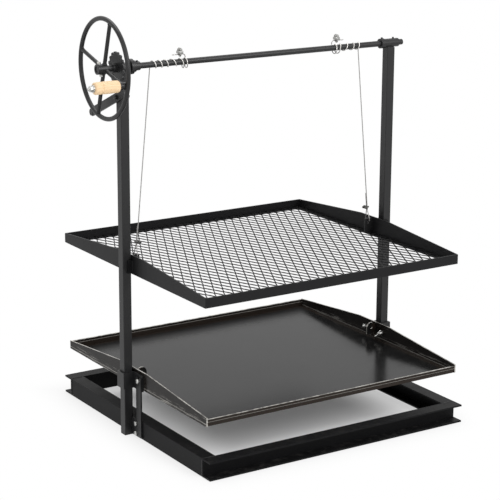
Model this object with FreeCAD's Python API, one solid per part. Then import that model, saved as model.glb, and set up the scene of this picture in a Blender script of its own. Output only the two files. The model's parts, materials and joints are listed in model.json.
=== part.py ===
import FreeCAD, Part
import math
import os

# Crank-lift campfire grill: a cooking grate hung on two wires from a hand-turned shaft, over a fire tray.
# Millimetres, +Z up. X runs along the shaft away from the handwheel, Y runs from the front to the back.
# Pieces are drawn about the middle of the base, then all are moved along X by one step, so that
# the origin is on the ground at the middle of the overall box.

V = FreeCAD.Vector

# Clearances
run_gap = 0.05
hole_gap = 0.2
face_gap = 0.3

# Base of four channels
base_width = 914.0
base_depth = 900.0
channel_height = 56.0
channel_flange = 43.0
channel_wall = 5.0

# Posts of square tube
post_size = 28.0
post_wall = 2.5
post_corner = 2.0
post_height = 1108.5
post_y = 11.5
right_post_gap = 18.0
spacer_height = 50.0

# Lift shaft and its bearings
shaft_diameter = 18.0
shaft_end_reach = 17.0
shaft_hub_inset = 2.0
bearing_wall = 4.5
bearing_pad_width = 18.0
left_bearing_reach = 8.0
bearing_flange_diameter = 45.0
bearing_flange_thickness = 10.0
bearing_step_diameter = 34.0
bearing_step_thickness = 9.0
right_bearing_inner_reach = 7.0
right_bearing_outer_reach = 19.0
nipple_diameter = 6.0
nipple_height = 4.0
nipple_reach = 1.5

# Shaft collars and set screws
left_collar_wall = 4.0
right_collar_wall = 6.5
collar_length = 14.5
collar_screw_diameter = 6.0
screw_head_reach = 3.5

# Handwheel
wheel_diameter = 302.0
rim_bar = 13.5
spoke_bar = 11.5
spoke_count = 4
wheel_phase = -16.5
hub_wall = 6.0
hub_length = 30.5
hub_gap = 17.5
wheel_inset = 6.5
hub_screw_diameter = 9.0
hub_screw_reach = 7.0
hub_screw_upper_inset = 7.5
hub_screw_lower_inset = 14.0

# Wooden handle on its bolt
handle_inset = 12.5
handle_rise = 8.0
handle_boss_diameter = 22.0
handle_boss_length = 30.5
handle_boss_back = 8.5
handle_diameter = 36.0
handle_length = 80.0
handle_round = 6.0
handle_groove_width = 4.0
handle_groove_depth = 1.5
handle_groove_inset = 22.0
handle_bolt_diameter = 10.0
handle_washer_diameter = 22.0
handle_washer_thickness = 2.5
handle_nut_flats = 16.0
handle_nut_height = 10.0
handle_bolt_end = 5.0

# Ratchet sprocket and pawl
sprocket_diameter = 94.0
sprocket_thickness = 5.0
sprocket_gap = 1.5
sprocket_teeth = 16
tooth_gap_diameter = 10.4
sprocket_boss_wall = 4.5
sprocket_boss_length = 14.5
pawl_thickness = 6.0
pawl_width = 25.0
pawl_clear = 38.5
pawl_slope = 23.5
pawl_back_reach = 171.0
pawl_front_reach = 38.0
pawl_nose_width = 8.0
pawl_tip_gap = 1.5
pawl_engage_angle = 7.5
pawl_weight_diameter = 21.0
pawl_weight_thickness = 8.0
pawl_bolt_diameter = 8.0
pawl_bolt_flats = 13.0
pawl_head_height = 5.5
pawl_collar_diameter = 15.0

# Lifting wires
wire_diameter = 3.0
winding_pitch = 20.5
wide_pitch = 31.0
settle_pitch = 20.0
close_pitch = 8.0
loose_turns = 2
loose_drop = 7.0
left_exit_reach = 81.5
right_exit_reach = 99.5
left_turns = 3
right_turns = 2
lead_length = 14.0
tail_rise = 21.0
tail_bend = 8.0
tail_length = 36.0
tail_clip_inset = 10.0

# Wire clips: sizes of the eye clips, and how many times larger the tail clips are
tail_clip_size = 1.45
clip_bolt_diameter = 4.0
clip_leg_gap = 0.3
clip_saddle_height = 6.0
clip_saddle_length = 10.0
clip_nut_flats = 7.0
clip_nut_height = 4.0
clip_leg_end = 2.0

# Wire eyes: each goes through its lug's hole and back up to its clip
eye_bend = 9.0
eye_flat = 2.0
eye_rise = 5.0
eye_taper = 28.0
eye_clip_margin = 3.0
eye_tail_length = 38.0
eye_soft_bend = 14.0
eye_seat_gap = 0.5
strand_gap = 0.6

# Cooking grate
grate_depth = 856.0
grate_y = 5.0
grate_z = 505.0
grate_end_height = 29.5
grate_mid_height = 57.5
grate_flat = 140.0
grate_plate = 4.0
grate_ledge = 15.0
grate_left_gap = 1.5
grate_right_gap = 32.5

# Expanded mesh
mesh_pitch_x = 29.7
mesh_pitch_y = 59.4
mesh_strand = 4.0
mesh_border = 4.0
mesh_thickness = 3.0
mesh_smallest = 20.0

# Guide tabs and wire lugs on the grate
guide_thickness = 6.0
guide_margin = 4.0
guide_top_margin = 14.0
guide_post_gap = 1.0
lug_width = 29.0
lug_thickness = 5.0
lug_rise = -3.5
lug_hole_inset = 16.5
lug_hole_drop = 14.0
lug_hole_diameter = 8.0

# Fire tray
tray_depth = 842.0
tray_z = 154.0
tray_end_height = 26.0
tray_mid_height = 56.0
tray_flat = 160.0
tray_plate = 4.0
tray_sheet = 3.0
tray_front_wall = 21.0
tray_rear_wall = 25.0
hem_height = 8.0

# Straps that hold the tray to the posts
strap_thickness = 5.0
strap_height = 50.0
strap_drop = 4.0
strap_post_gap = 1.0
strap_front_ear = 37.0
strap_rear_ear = 12.5
strap_ear_margin = 14.0
strap_bolt_inset = 18.0
strap_bolt_diameter = 8.0
strap_bolt_flats = 13.0
strap_head_height = 5.5
strap_nut_height = 6.5
strap_bolt_end = 4.0

# Round-topped lugs inside the tray's sides
tray_lug_reach = 34.0
tray_lug_thickness = 5.0
tray_lug_height = 57.0
tray_lug_foot = 8.0
tray_lug_side_foot = 19.0
tray_lug_hole = 10.0
tray_lug_offset = 20.0

# Wing nuts
wing_hub_diameter = 16.0
wing_hub_length = 12.0
wing_span = 40.0
wing_thickness = 4.0
wing_root = 8.0
wing_rise = 8.0
wing_angle = -45.0

# Stays between base and tray, each with a foot beside the post
stay_width = 28.0
stay_thickness = 5.0
stay_strap_gap = 1.0
stay_foot = 3.0
stay_fork_rise = 10.0
stay_bolt_reach = 28.5
stay_bolt_inset = 8.0
stay_bolt_diameter = 8.0
stay_bolt_flats = 13.0
stay_head_height = 5.5

# Places and sizes worked out from the values above
base_edge = base_width / 2
left_post_x = -(base_edge + post_size / 2)
right_post_x = base_edge + right_post_gap + post_size / 2
left_post_outer = left_post_x - post_size / 2
left_post_inner = left_post_x + post_size / 2
right_post_inner = right_post_x - post_size / 2
right_post_outer = right_post_x + post_size / 2
stay_bolt_y = post_y - post_size / 2 - stay_bolt_reach
stay_bolt_low = channel_wall + stay_bolt_inset
stay_bolt_high = channel_height - channel_wall - stay_bolt_inset

bearing_outer = shaft_diameter + 2 * bearing_wall
shaft_z = post_height + bearing_outer / 2
shaft_radius = shaft_diameter / 2
hub_diameter = shaft_diameter + 2 * hub_wall
sprocket_inner = left_post_outer - sprocket_gap
sprocket_outer = sprocket_inner - sprocket_thickness
boss_outer = sprocket_outer - sprocket_boss_length
hub_inner = boss_outer - hub_gap
hub_outer = hub_inner - hub_length
wheel_x = hub_inner - wheel_inset
shaft_left = hub_outer + shaft_hub_inset
left_bearing_end = left_post_inner + left_bearing_reach
left_flange_end = left_bearing_end + bearing_flange_thickness + bearing_step_thickness
right_bearing_start = right_post_inner - right_bearing_inner_reach
right_bearing_end = right_post_outer + right_bearing_outer_reach
shaft_right = right_bearing_end + shaft_end_reach
rim_radius = (wheel_diameter - rim_bar) / 2
handle_circle = rim_radius - handle_inset
handle_angle = math.radians(wheel_phase - 90.0)
handle_y = post_y + handle_circle * math.sin(handle_angle) + handle_rise * math.cos(handle_angle)
handle_z = shaft_z + handle_circle * math.cos(handle_angle) - handle_rise * math.sin(handle_angle)
handle_boss_inner = wheel_x + handle_boss_back
handle_boss_outer = handle_boss_inner - handle_boss_length
handle_inner = handle_boss_outer - face_gap
handle_outer = handle_inner - handle_length
handle_end = handle_outer - face_gap - handle_washer_thickness - handle_nut_height - handle_bolt_end
pawl_x = (sprocket_inner + sprocket_outer) / 2
pawl_z = shaft_z - sprocket_diameter / 2 - pawl_clear

grate_left = left_post_inner + grate_left_gap
grate_right = right_post_inner - grate_right_gap
grate_front = grate_y - grate_depth / 2
grate_back = grate_y + grate_depth / 2
lug_top = grate_z + grate_mid_height + lug_rise
lug_hole_z = lug_top - lug_hole_drop

winding_radius = shaft_radius + face_gap + wire_diameter / 2
left_exit_x = left_post_inner + left_exit_reach
right_exit_x = right_post_inner - right_exit_reach
strand_offset = (wire_diameter + strand_gap) / 2
eye_half_width = eye_bend + eye_flat / 2
eye_shoulder = eye_bend + eye_rise
eye_neck = eye_shoulder + eye_taper
eye_clip_height = eye_neck + eye_clip_margin + clip_saddle_length / 2
eye_top = eye_clip_height + clip_saddle_length / 2 + eye_clip_margin
eye_tail = eye_top + eye_tail_length

tray_edge = base_edge - strap_thickness - stay_strap_gap
strap_bottom = tray_z - strap_drop
strap_bolt_z = strap_bottom + strap_height - strap_bolt_inset
strap_front = post_y - post_size / 2 - strap_post_gap
strap_back = post_y + post_size / 2 + strap_post_gap
front_bolt_y = strap_front - strap_thickness - strap_front_ear
rear_bolt_y = strap_back + strap_thickness + strap_rear_ear

shift_x = -(handle_end + shaft_right) / 2


# General shapes
def box(x0, x1, y0, y1, z0, z1):
    return Part.makeBox(x1 - x0, y1 - y0, z1 - z0, V(x0, y0, z0))


def rod_x(diameter, x0, x1, y, z):
    start = min(x0, x1)
    return Part.makeCylinder(diameter / 2, abs(x1 - x0), V(start, y, z), V(1, 0, 0))


def rod_z(diameter, x, y, z0, z1):
    return Part.makeCylinder(diameter / 2, z1 - z0, V(x, y, z0))


def hex_prism(flats, height, base, direction):
    corner = flats / math.sqrt(3)
    angles = [math.radians(60 * k) for k in range(7)]
    outline = [V(corner * math.cos(a), corner * math.sin(a), 0) for a in angles]
    prism = Part.Face(Part.makePolygon(outline)).extrude(V(0, 0, height))
    prism.Placement = FreeCAD.Placement(base, FreeCAD.Rotation(V(0, 0, 1), direction))
    return prism


def hex_x(flats, x0, x1, y, z):
    return hex_prism(flats, abs(x1 - x0), V(min(x0, x1), y, z), V(1, 0, 0))


def closed_face(points):
    return Part.Face(Part.makePolygon(points + [points[0]]))


def prism_x(outline_yz, x0, x1):
    points = [V(x0, y, z) for y, z in outline_yz]
    return closed_face(points).extrude(V(x1 - x0, 0, 0))


def prism_y(outline_xz, y0, y1):
    points = [V(x, y0, z) for x, z in outline_xz]
    return closed_face(points).extrude(V(0, y1 - y0, 0))


def prism_z(outline_xy, z0, z1):
    points = [V(x, y, z0) for x, y in outline_xy]
    return closed_face(points).extrude(V(0, 0, z1 - z0))


def folded_outline(points, thickness):
    """Closed outline of a flat bar folded along an open line, its thickness on the left of the line."""
    normals = []
    for (a0, b0), (a1, b1) in zip(points, points[1:]):
        length = math.hypot(a1 - a0, b1 - b0)
        normals.append((-(b1 - b0) / length, (a1 - a0) / length))
    other = []
    for index, (a, b) in enumerate(points):
        before = normals[max(index - 1, 0)]
        after = normals[min(index, len(normals) - 1)]
        scale = thickness / (1 + before[0] * after[0] + before[1] * after[1])
        other.append((a + scale * (before[0] + after[0]), b + scale * (before[1] + after[1])))
    return points + other[::-1]


def joined(first, *others):
    return first.fuse(list(others)).removeSplitter()


def bolt_x(diameter, flats, head, x_head, x_end, y, z):
    """Hexagon bolt along X, whose head starts at x_head and points away from x_end."""
    way = math.copysign(1.0, x_end - x_head)
    return joined(hex_x(flats, x_head - way * head, x_head, y, z), rod_x(diameter, x_head, x_end, y, z))


def nutted_bolt_x(diameter, flats, head, nut, x_head, x_nut, reach, y, z):
    """Hexagon bolt along X with its nut, which starts at x_nut."""
    way = math.copysign(1.0, x_nut - x_head)
    bolt = bolt_x(diameter, flats, head, x_head, x_nut + way * (nut + reach), y, z)
    return joined(bolt, hex_x(flats, x_nut, x_nut + way * nut, y, z))


# Wire paths and tubes
def arc_between(start, corner, end):
    """Arc from start to end, tangent to the lines through the corner, which is as far from both."""
    back = (start - corner).normalize()
    ahead = (end - corner).normalize()
    half = (math.pi - back.getAngle(ahead)) / 2
    if half < 1e-6:
        return Part.LineSegment(start, end).toShape()
    radius = start.distanceToPoint(corner) / math.tan(half)
    middle = corner + (back + ahead).normalize() * (radius * (1 / math.cos(half) - 1))
    return Part.Arc(start, middle, end).toShape()


def biarc(start, start_way, end, end_way):
    """Two tangent arcs from start to end with the given directions."""
    step = end - start
    ways = start_way + end_way
    a = ways.dot(ways) - 4
    b = step.dot(ways)
    c = step.dot(step)
    reach = c / (2 * b) if abs(a) < 1e-9 else (b - math.sqrt(b * b - a * c)) / a
    if reach < 0:
        reach = (b + math.sqrt(b * b - a * c)) / a
    first_corner = start + start_way * reach
    last_corner = end - end_way * reach
    joint = (first_corner + last_corner) * 0.5
    return [arc_between(start, first_corner, joint), arc_between(joint, last_corner, end)]


def rounded_path(points, radii):
    """Straight runs through the points, with an arc of the given radius at each inner point."""
    edges = []
    at = points[0]
    for before, corner, after, radius in zip(points, points[1:], points[2:], radii):
        back = (before - corner).normalize()
        ahead = (after - corner).normalize()
        reach = radius * math.tan((math.pi - back.getAngle(ahead)) / 2)
        edges.append(Part.LineSegment(at, corner + back * reach).toShape())
        at = corner + ahead * reach
        edges.append(arc_between(corner + back * reach, corner, at))
    edges.append(Part.LineSegment(at, points[-1]).toShape())
    return edges


def tube(name, edges, diameter):
    path = Part.Wire(edges)
    start = edges[0].valueAt(edges[0].FirstParameter)
    way = edges[0].tangentAt(edges[0].FirstParameter)
    section = Part.Wire([Part.Circle(start, way, diameter / 2).toShape()])
    solid = path.makePipeShell([section], True, False)
    expected = math.pi * diameter ** 2 / 4 * path.Length
    radii = [edge.Curve.Radius for edge in edges if hasattr(edge.Curve, "Radius")]
    tightest = min(radii) if radii else 0.0
    print("%s: length %.1f, tightest bend %.1f, volume %.4f of section times length"
          % (name, path.Length, tightest, solid.Volume / expected))
    return solid


def self_gap(edges, diameter, apart):
    """Least gap of a tube to itself, on points that are further apart along it than the given length."""
    points = []
    for edge in edges:
        count = max(2, int(edge.Length / 1.5))
        points += edge.discretize(count)[:-1]
    along = [0.0]
    for a, b in zip(points, points[1:]):
        along.append(along[-1] + a.distanceToPoint(b))
    least = math.inf
    for i, a in enumerate(points):
        for j in range(i + 1, len(points)):
            if along[j] - along[i] > apart:
                least = min(least, a.distanceToPoint(points[j]))
    return least - diameter


# Standing frame
def end_channel(side):
    web = side * (base_depth / 2 - channel_flange)
    tip = side * base_depth / 2
    line = [(tip, 0), (web, 0), (web, channel_height), (tip, channel_height)]
    if side > 0:
        line = line[::-1]
    return prism_x(folded_outline(line, channel_wall), -base_edge, base_edge)


def side_channel(side):
    reach = base_depth / 2 - channel_flange
    tip = side * (base_edge - channel_flange)
    line = [(tip, 0), (side * base_edge, 0), (side * base_edge, channel_height), (tip, channel_height)]
    if side < 0:
        line = line[::-1]
    channel = prism_y(folded_outline(line, channel_wall), -reach, reach)
    return channel.cut(stay_holes(side))


def stay_holes(side):
    diameter = stay_bolt_diameter + 2 * hole_gap
    far = side * 2 * base_edge
    return [rod_x(diameter, 0, far, stay_bolt_y, z) for z in (stay_bolt_low, stay_bolt_high)]


def post(x, bolt_hole):
    half = post_size / 2
    inner = half - post_wall
    outside = box(x - half, x + half, post_y - half, post_y + half, 0, post_height)
    upright = [edge for edge in outside.Edges if edge.BoundBox.ZLength > post_height / 2]
    outside = outside.makeFillet(post_corner, upright)
    inside = box(x - inner, x + inner, post_y - inner, post_y + inner, 0, post_height)
    tubing = outside.cut(inside)
    if bolt_hole:
        hole = rod_x(pawl_bolt_diameter + 2 * hole_gap, x - post_size, x + post_size, post_y, pawl_z)
        tubing = tubing.cut(hole)
    return tubing


def post_spacer():
    low = (channel_height - spacer_height) / 2
    half = post_size / 2
    return box(base_edge, right_post_inner, post_y - half, post_y + half, low, low + spacer_height)


def bearing_pad(x):
    half = post_size / 2
    return box(x - half, x + half, post_y - bearing_pad_width / 2, post_y + bearing_pad_width / 2,
               post_height, shaft_z)


def shaft_bore(x0, x1):
    return rod_x(shaft_diameter + 2 * run_gap, x0, x1, post_y, shaft_z)


def left_bearing():
    pipe = rod_x(bearing_outer, left_post_outer, left_bearing_end, post_y, shaft_z)
    flange_end = left_bearing_end + bearing_flange_thickness
    flange = rod_x(bearing_flange_diameter, left_bearing_end, flange_end, post_y, shaft_z)
    step = rod_x(bearing_step_diameter, flange_end, left_flange_end, post_y, shaft_z)
    body = joined(pipe, bearing_pad(left_post_x), flange, step)
    return body.cut(shaft_bore(left_post_outer, left_flange_end))


def right_bearing():
    pipe = rod_x(bearing_outer, right_bearing_start, right_bearing_end, post_y, shaft_z)
    top = shaft_z + bearing_outer / 2 + nipple_height
    nipple = rod_z(nipple_diameter, right_post_outer + nipple_reach, post_y, shaft_z, top)
    body = joined(pipe, bearing_pad(right_post_x), nipple)
    return body.cut(shaft_bore(right_bearing_start, right_bearing_end))


def stay(side):
    """Upright flat bar with a forked top under the tray's bolt and a foot that reaches to the post."""
    near = min(side * base_edge, side * (base_edge + stay_thickness))
    far = near + stay_thickness
    front = front_bolt_y - stay_width / 2
    top = strap_bolt_z + stay_fork_rise
    bar = box(near, far, front, front + stay_width, stay_foot, top)
    foot = box(near, far, front, post_y - post_size / 2, stay_foot, channel_height)
    slot = strap_bolt_diameter + 2 * face_gap
    seat = rod_x(slot, near, far, front_bolt_y, strap_bolt_z)
    mouth = box(near, far, front_bolt_y - slot / 2, front_bolt_y + slot / 2, strap_bolt_z, top)
    return joined(bar, foot).cut([seat, mouth] + stay_holes(side))


def stay_bolts(side):
    bolts = []
    for z in (stay_bolt_low, stay_bolt_high):
        bolts.append(nutted_bolt_x(stay_bolt_diameter, stay_bolt_flats, stay_head_height, stay_head_height,
                                   side * (base_edge + stay_thickness), side * (base_edge - channel_wall),
                                   stay_head_height / 2, stay_bolt_y, z))
    return Part.makeCompound(bolts)


def pawl_bolt():
    pawl_outer = pawl_x - pawl_thickness / 2 - face_gap
    pawl_inner = pawl_x + pawl_thickness / 2 + face_gap
    bolt = nutted_bolt_x(pawl_bolt_diameter, pawl_bolt_flats, pawl_head_height, pawl_head_height,
                         pawl_outer, left_post_inner, pawl_head_height / 2, post_y, pawl_z)
    return joined(bolt, rod_x(pawl_collar_diameter, pawl_inner, left_post_outer, post_y, pawl_z))


# Turning shaft
def lift_shaft():
    return rod_x(shaft_diameter, shaft_left, shaft_right, post_y, shaft_z)


def radial_pin(x, way, diameter, near, far):
    """Upright pin from one distance off the shaft's axis to another, above it or below."""
    start = V(x, post_y, shaft_z + way * near)
    return Part.makeCylinder(diameter / 2, far - near, start, V(0, 0, way))


def set_screw(x, way, diameter, far):
    return radial_pin(x, way, diameter, shaft_radius + run_gap, far)


def set_screw_hole(x, way, diameter, far):
    return radial_pin(x, way, diameter + 2 * run_gap, 0, far)


def hub_screw_x(way):
    return hub_outer + (hub_screw_upper_inset if way > 0 else hub_screw_lower_inset)


def hub_screw(way):
    return set_screw(hub_screw_x(way), way, hub_screw_diameter, hub_diameter / 2 + hub_screw_reach)


def handwheel():
    centre = V(wheel_x, post_y, shaft_z)
    rim = Part.makeTorus(rim_radius, rim_bar / 2, centre, V(1, 0, 0))
    pieces = [rim]
    for k in range(spoke_count):
        angle = math.radians(wheel_phase + 360.0 * k / spoke_count)
        outward = V(0, math.sin(angle), math.cos(angle))
        pieces.append(Part.makeCylinder(spoke_bar / 2, rim_radius, centre, outward))
    pieces.append(rod_x(handle_boss_diameter, handle_boss_outer, handle_boss_inner, handle_y, handle_z))
    hub = rod_x(hub_diameter, hub_outer, hub_inner, post_y, shaft_z)
    bolt_hole = rod_x(handle_bolt_diameter + 2 * run_gap, handle_boss_outer, handle_boss_inner,
                      handle_y, handle_z)
    holes = [shaft_bore(hub_outer, hub_inner), bolt_hole]
    holes += [set_screw_hole(hub_screw_x(way), way, hub_screw_diameter, hub_diameter) for way in (-1, 1)]
    return joined(hub, *pieces).cut(holes)


def handle_grip():
    grip = rod_x(handle_diameter, handle_outer, handle_inner, handle_y, handle_z)
    ends = [edge for edge in grip.Edges if hasattr(edge.Curve, "Radius")]
    grip = grip.makeFillet(handle_round, ends)
    groove = handle_outer + handle_groove_inset
    groove_end = groove + handle_groove_width
    ring = rod_x(handle_diameter * 2, groove, groove_end, handle_y, handle_z)
    core = rod_x(handle_diameter - 2 * handle_groove_depth, groove, groove_end, handle_y, handle_z)
    bore = rod_x(handle_bolt_diameter + 2 * run_gap, handle_outer, handle_inner, handle_y, handle_z)
    return grip.cut([ring.cut(core), bore])


def handle_bolt():
    washer = handle_outer - face_gap
    nut = washer - handle_washer_thickness
    shank = rod_x(handle_bolt_diameter, handle_end, handle_boss_inner, handle_y, handle_z)
    disc = rod_x(handle_washer_diameter, nut, washer, handle_y, handle_z)
    return joined(shank, disc, hex_x(handle_nut_flats, nut - handle_nut_height, nut, handle_y, handle_z))


def pawl_front():
    """Middle of the pawl's front end, and the way from there to the shaft, as Y and Z."""
    slope = math.radians(pawl_slope)
    y = post_y - pawl_front_reach * math.cos(slope)
    z = pawl_z + pawl_front_reach * math.sin(slope)
    reach = math.hypot(post_y - y, shaft_z - z)
    return y, z, (post_y - y) / reach, (shaft_z - z) / reach


def pawl_tip_distance():
    return sprocket_diameter / 2 + pawl_tip_gap


def engaged_gap_angle():
    """Angle about the shaft, from +Y towards +Z, of the tooth gap that the lowered pawl enters."""
    y, z, way_y, way_z = pawl_front()
    tip_y = post_y - way_y * pawl_tip_distance() - post_y
    tip_z = shaft_z - way_z * pawl_tip_distance() - pawl_z
    turn = math.radians(-pawl_engage_angle)
    down_y = tip_y * math.cos(turn) - tip_z * math.sin(turn)
    down_z = tip_y * math.sin(turn) + tip_z * math.cos(turn)
    return math.atan2(down_z + pawl_z - shaft_z, down_y)


def ratchet_sprocket():
    disc = rod_x(sprocket_diameter, sprocket_outer, sprocket_inner, post_y, shaft_z)
    gaps = []
    for k in range(sprocket_teeth):
        angle = engaged_gap_angle() + 2 * math.pi * k / sprocket_teeth
        y = post_y + sprocket_diameter / 2 * math.cos(angle)
        z = shaft_z + sprocket_diameter / 2 * math.sin(angle)
        gaps.append(rod_x(tooth_gap_diameter, sprocket_outer, sprocket_inner, y, z))
    boss = rod_x(shaft_diameter + 2 * sprocket_boss_wall, boss_outer, sprocket_outer, post_y, shaft_z)
    return joined(disc.cut(gaps), boss).cut(shaft_bore(boss_outer, sprocket_inner))


def collar_place(side):
    """Start and end of a shaft collar along X, and its diameter."""
    if side < 0:
        start = left_flange_end + face_gap
        return start, start + collar_length, shaft_diameter + 2 * left_collar_wall
    end = right_bearing_start - face_gap
    return end - collar_length, end, shaft_diameter + 2 * right_collar_wall


def collar(side):
    start, end, diameter = collar_place(side)
    hole = set_screw_hole((start + end) / 2, 1, collar_screw_diameter, diameter)
    return rod_x(diameter, start, end, post_y, shaft_z).cut([shaft_bore(start, end), hole])


def collar_screw(side):
    start, end, diameter = collar_place(side)
    return set_screw((start + end) / 2, 1, collar_screw_diameter, diameter / 2 + screw_head_reach)


# Pawl
def pawl_lever():
    x0 = pawl_x - pawl_thickness / 2
    x1 = pawl_x + pawl_thickness / 2
    slope = math.radians(pawl_slope)
    along = (math.cos(slope), -math.sin(slope))
    across = (math.sin(slope) * pawl_width / 2, math.cos(slope) * pawl_width / 2)
    front_y, front_z, way_y, way_z = pawl_front()
    back_y = post_y + pawl_back_reach * along[0]
    back_z = pawl_z + pawl_back_reach * along[1]
    bar = prism_x([(front_y - across[0], front_z - across[1]), (back_y - across[0], back_z - across[1]),
                   (back_y + across[0], back_z + across[1]), (front_y + across[0], front_z + across[1])],
                  x0, x1)
    rounding = rod_x(pawl_width, x0, x1, front_y, front_z)
    round_radius = pawl_nose_width / 2
    tip_y = post_y - way_y * (pawl_tip_distance() + round_radius)
    tip_z = shaft_z - way_z * (pawl_tip_distance() + round_radius)
    side_y = -way_z * round_radius
    side_z = way_y * round_radius
    nose = prism_x([(front_y - side_y, front_z - side_z), (tip_y - side_y, tip_z - side_z),
                    (tip_y + side_y, tip_z + side_z), (front_y + side_y, front_z + side_z)], x0, x1)
    tip = rod_x(pawl_nose_width, x0, x1, tip_y, tip_z)
    half = pawl_weight_thickness / 2
    weight = rod_x(pawl_weight_diameter, pawl_x - half, pawl_x + half, back_y, back_z)
    hole = rod_x(pawl_bolt_diameter + 2 * run_gap, x0, x1, post_y, pawl_z)
    return joined(bar, rounding, nose, tip, weight).cut(hole)


# Lifting wires
def hole_x(side):
    if side < 0:
        return grate_left + grate_plate + lug_hole_inset
    return grate_right - grate_plate - lug_hole_inset


def exit_x(side):
    return left_exit_x if side < 0 else right_exit_x


def wire_line(side):
    """Seat of the eye in its lug's hole, the wire's way up from there and the way across the eye."""
    seat = V(hole_x(side), post_y, lug_hole_z + lug_hole_diameter / 2 - wire_diameter / 2 - eye_seat_gap)
    top = V(exit_x(side), post_y + winding_radius, shaft_z - lead_length)
    up = top - seat
    length = up.Length
    up.normalize()
    across = V(0, 1, 0) - up * up.y
    return seat, up, across.normalize(), length


def winding_start(side):
    seat, up, across, length = wire_line(side)
    return seat - across * strand_offset + up * length


def winding_path(side):
    """Straight lead, even turns over the shaft, a wide one, two closer loose ones and the raised tail."""
    up = wire_line(side)[1]
    start = winding_start(side)
    lead = start + up * wire_diameter
    edges = [Part.LineSegment(start, lead).toShape()]
    at = lead
    way = up
    inward = -side
    pitches = [winding_pitch] * (left_turns if side < 0 else right_turns)
    pitches += [wide_pitch, settle_pitch, close_pitch]
    x = exit_x(side)
    quarters = [(x, pitches[0], 0, winding_radius)]
    for place, pitch in enumerate(pitches):
        loose = place >= len(pitches) - loose_turns
        for quarter in range(1, 5):
            x += inward * pitch / 4
            drop = loose_drop if loose and quarter == 3 else 0
            quarters.append((x, pitch, quarter, winding_radius + drop))
    for x, pitch, quarter, radius in quarters:
        angle = quarter * math.pi / 2
        point = V(x, post_y + radius * math.cos(angle), shaft_z + radius * math.sin(angle))
        advance = inward * pitch / (2 * math.pi)
        turn = V(advance, -radius * math.sin(angle), radius * math.cos(angle))
        turn.normalize()
        edges += biarc(at, way, point, turn)
        at = point
        way = turn
    bend_start = V(x + inward, post_y + winding_radius, shaft_z + tail_rise - tail_bend)
    edges += biarc(at, way, bend_start, V(0, 0, 1))
    bend_end = bend_start + V(-inward * tail_bend, 0, tail_bend)
    edges.append(arc_between(bend_start, bend_start + V(0, 0, tail_bend), bend_end))
    edges.append(Part.LineSegment(bend_end, bend_end - V(inward * tail_length, 0, 0)).toShape())
    return edges


def winding(side, name):
    edges = winding_path(side)
    gap = self_gap(edges, wire_diameter, math.pi * winding_radius / 2)
    print("%s: least gap to itself %.2f" % (name, gap))
    return tube(name, edges, wire_diameter)


def tail_clip(side):
    tail = winding_path(side)[-1]
    start = tail.Vertexes[0].Point
    place = start + V(side * tail_clip_inset, 0, 0)
    return wire_clip(place, V(1, 0, 0), V(0, 0, 1), wire_diameter / 2, tail_clip_size)


def wire_clip(place, along, nuts, half_span, size=1.0):
    """Saddle, U-bolt and two nuts around a wire that runs along the given way."""
    radius = size * clip_bolt_diameter / 2
    leg = half_span + clip_leg_gap + radius
    low = wire_diameter / 2 + clip_leg_gap
    high = low + size * clip_saddle_height
    nut_flats = size * clip_nut_flats
    nut_height = size * clip_nut_height
    tip = high + nut_height + size * clip_leg_end
    bend = Part.makeTorus(leg, radius, V(0, 0, 0), V(0, 0, -1), -180, 180, 180)
    if bend.BoundBox.YMax > leg:
        bend.rotate(V(0, 0, 0), V(0, 0, 1), 180)
    half_wide = leg + nut_flats / 2
    half_long = size * clip_saddle_length / 2
    pieces = [box(-half_wide, half_wide, low, high, -half_long, half_long)]
    for x in (-leg, leg):
        pieces.append(Part.makeCylinder(radius, tip, V(x, 0, 0), V(0, 1, 0)))
        pieces.append(hex_prism(nut_flats, nut_height, V(x, high, 0), V(0, 1, 0)))
    clip = joined(bend, *pieces)
    square = nuts - along * nuts.dot(along)
    turn = FreeCAD.Rotation(square.cross(along), square, along, "ZYX")
    clip.Placement = FreeCAD.Placement(place, turn)
    return clip


def eye_path(side):
    """Standing strand, loop through the lug's hole and tail, in the plane of the wire."""
    seat, up, across, length = wire_line(side)
    route = [(eye_top, -strand_offset), (eye_neck, -strand_offset), (eye_shoulder, -eye_half_width),
             (0, -eye_half_width), (0, eye_half_width), (eye_shoulder, eye_half_width),
             (eye_neck, strand_offset), (eye_tail, strand_offset)]
    points = [seat + up * along + across * aside for along, aside in route]
    radii = [eye_soft_bend, eye_soft_bend, eye_bend, eye_bend, eye_soft_bend, eye_soft_bend]
    return rounded_path(points, radii)


def eye_clip(side):
    seat, up, across, length = wire_line(side)
    return wire_clip(seat + up * eye_clip_height, up, V(-side, 0, 0), strand_offset + wire_diameter / 2)


def lifting_wire(side):
    seat, up, across, length = wire_line(side)
    start = seat + up * eye_top - across * strand_offset
    return Part.makeCylinder(wire_diameter / 2, length - eye_top, start, up)


# Cooking grate
def raised_outline(front, back, low, end_height, mid_height, flat):
    middle = (front + back) / 2
    return [(front, low), (back, low), (back, low + end_height), (middle + flat / 2, low + mid_height),
            (middle - flat / 2, low + mid_height), (front, low + end_height)]


def grate_side(side):
    """Side plate with low ends and a raised middle, and a level ledge that carries the mesh."""
    x0 = grate_left if side < 0 else grate_right - grate_plate
    outline = raised_outline(grate_front, grate_back, grate_z, grate_end_height, grate_mid_height,
                             grate_flat)
    inner = x0 + grate_plate if side < 0 else x0
    edge = inner - side * grate_ledge
    end = grate_plate + grate_ledge
    ledge = box(min(inner, edge), max(inner, edge), grate_front + end, grate_back - end,
                grate_z, grate_z + grate_plate)
    return joined(prism_x(outline, x0, x0 + grate_plate), ledge)


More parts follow.
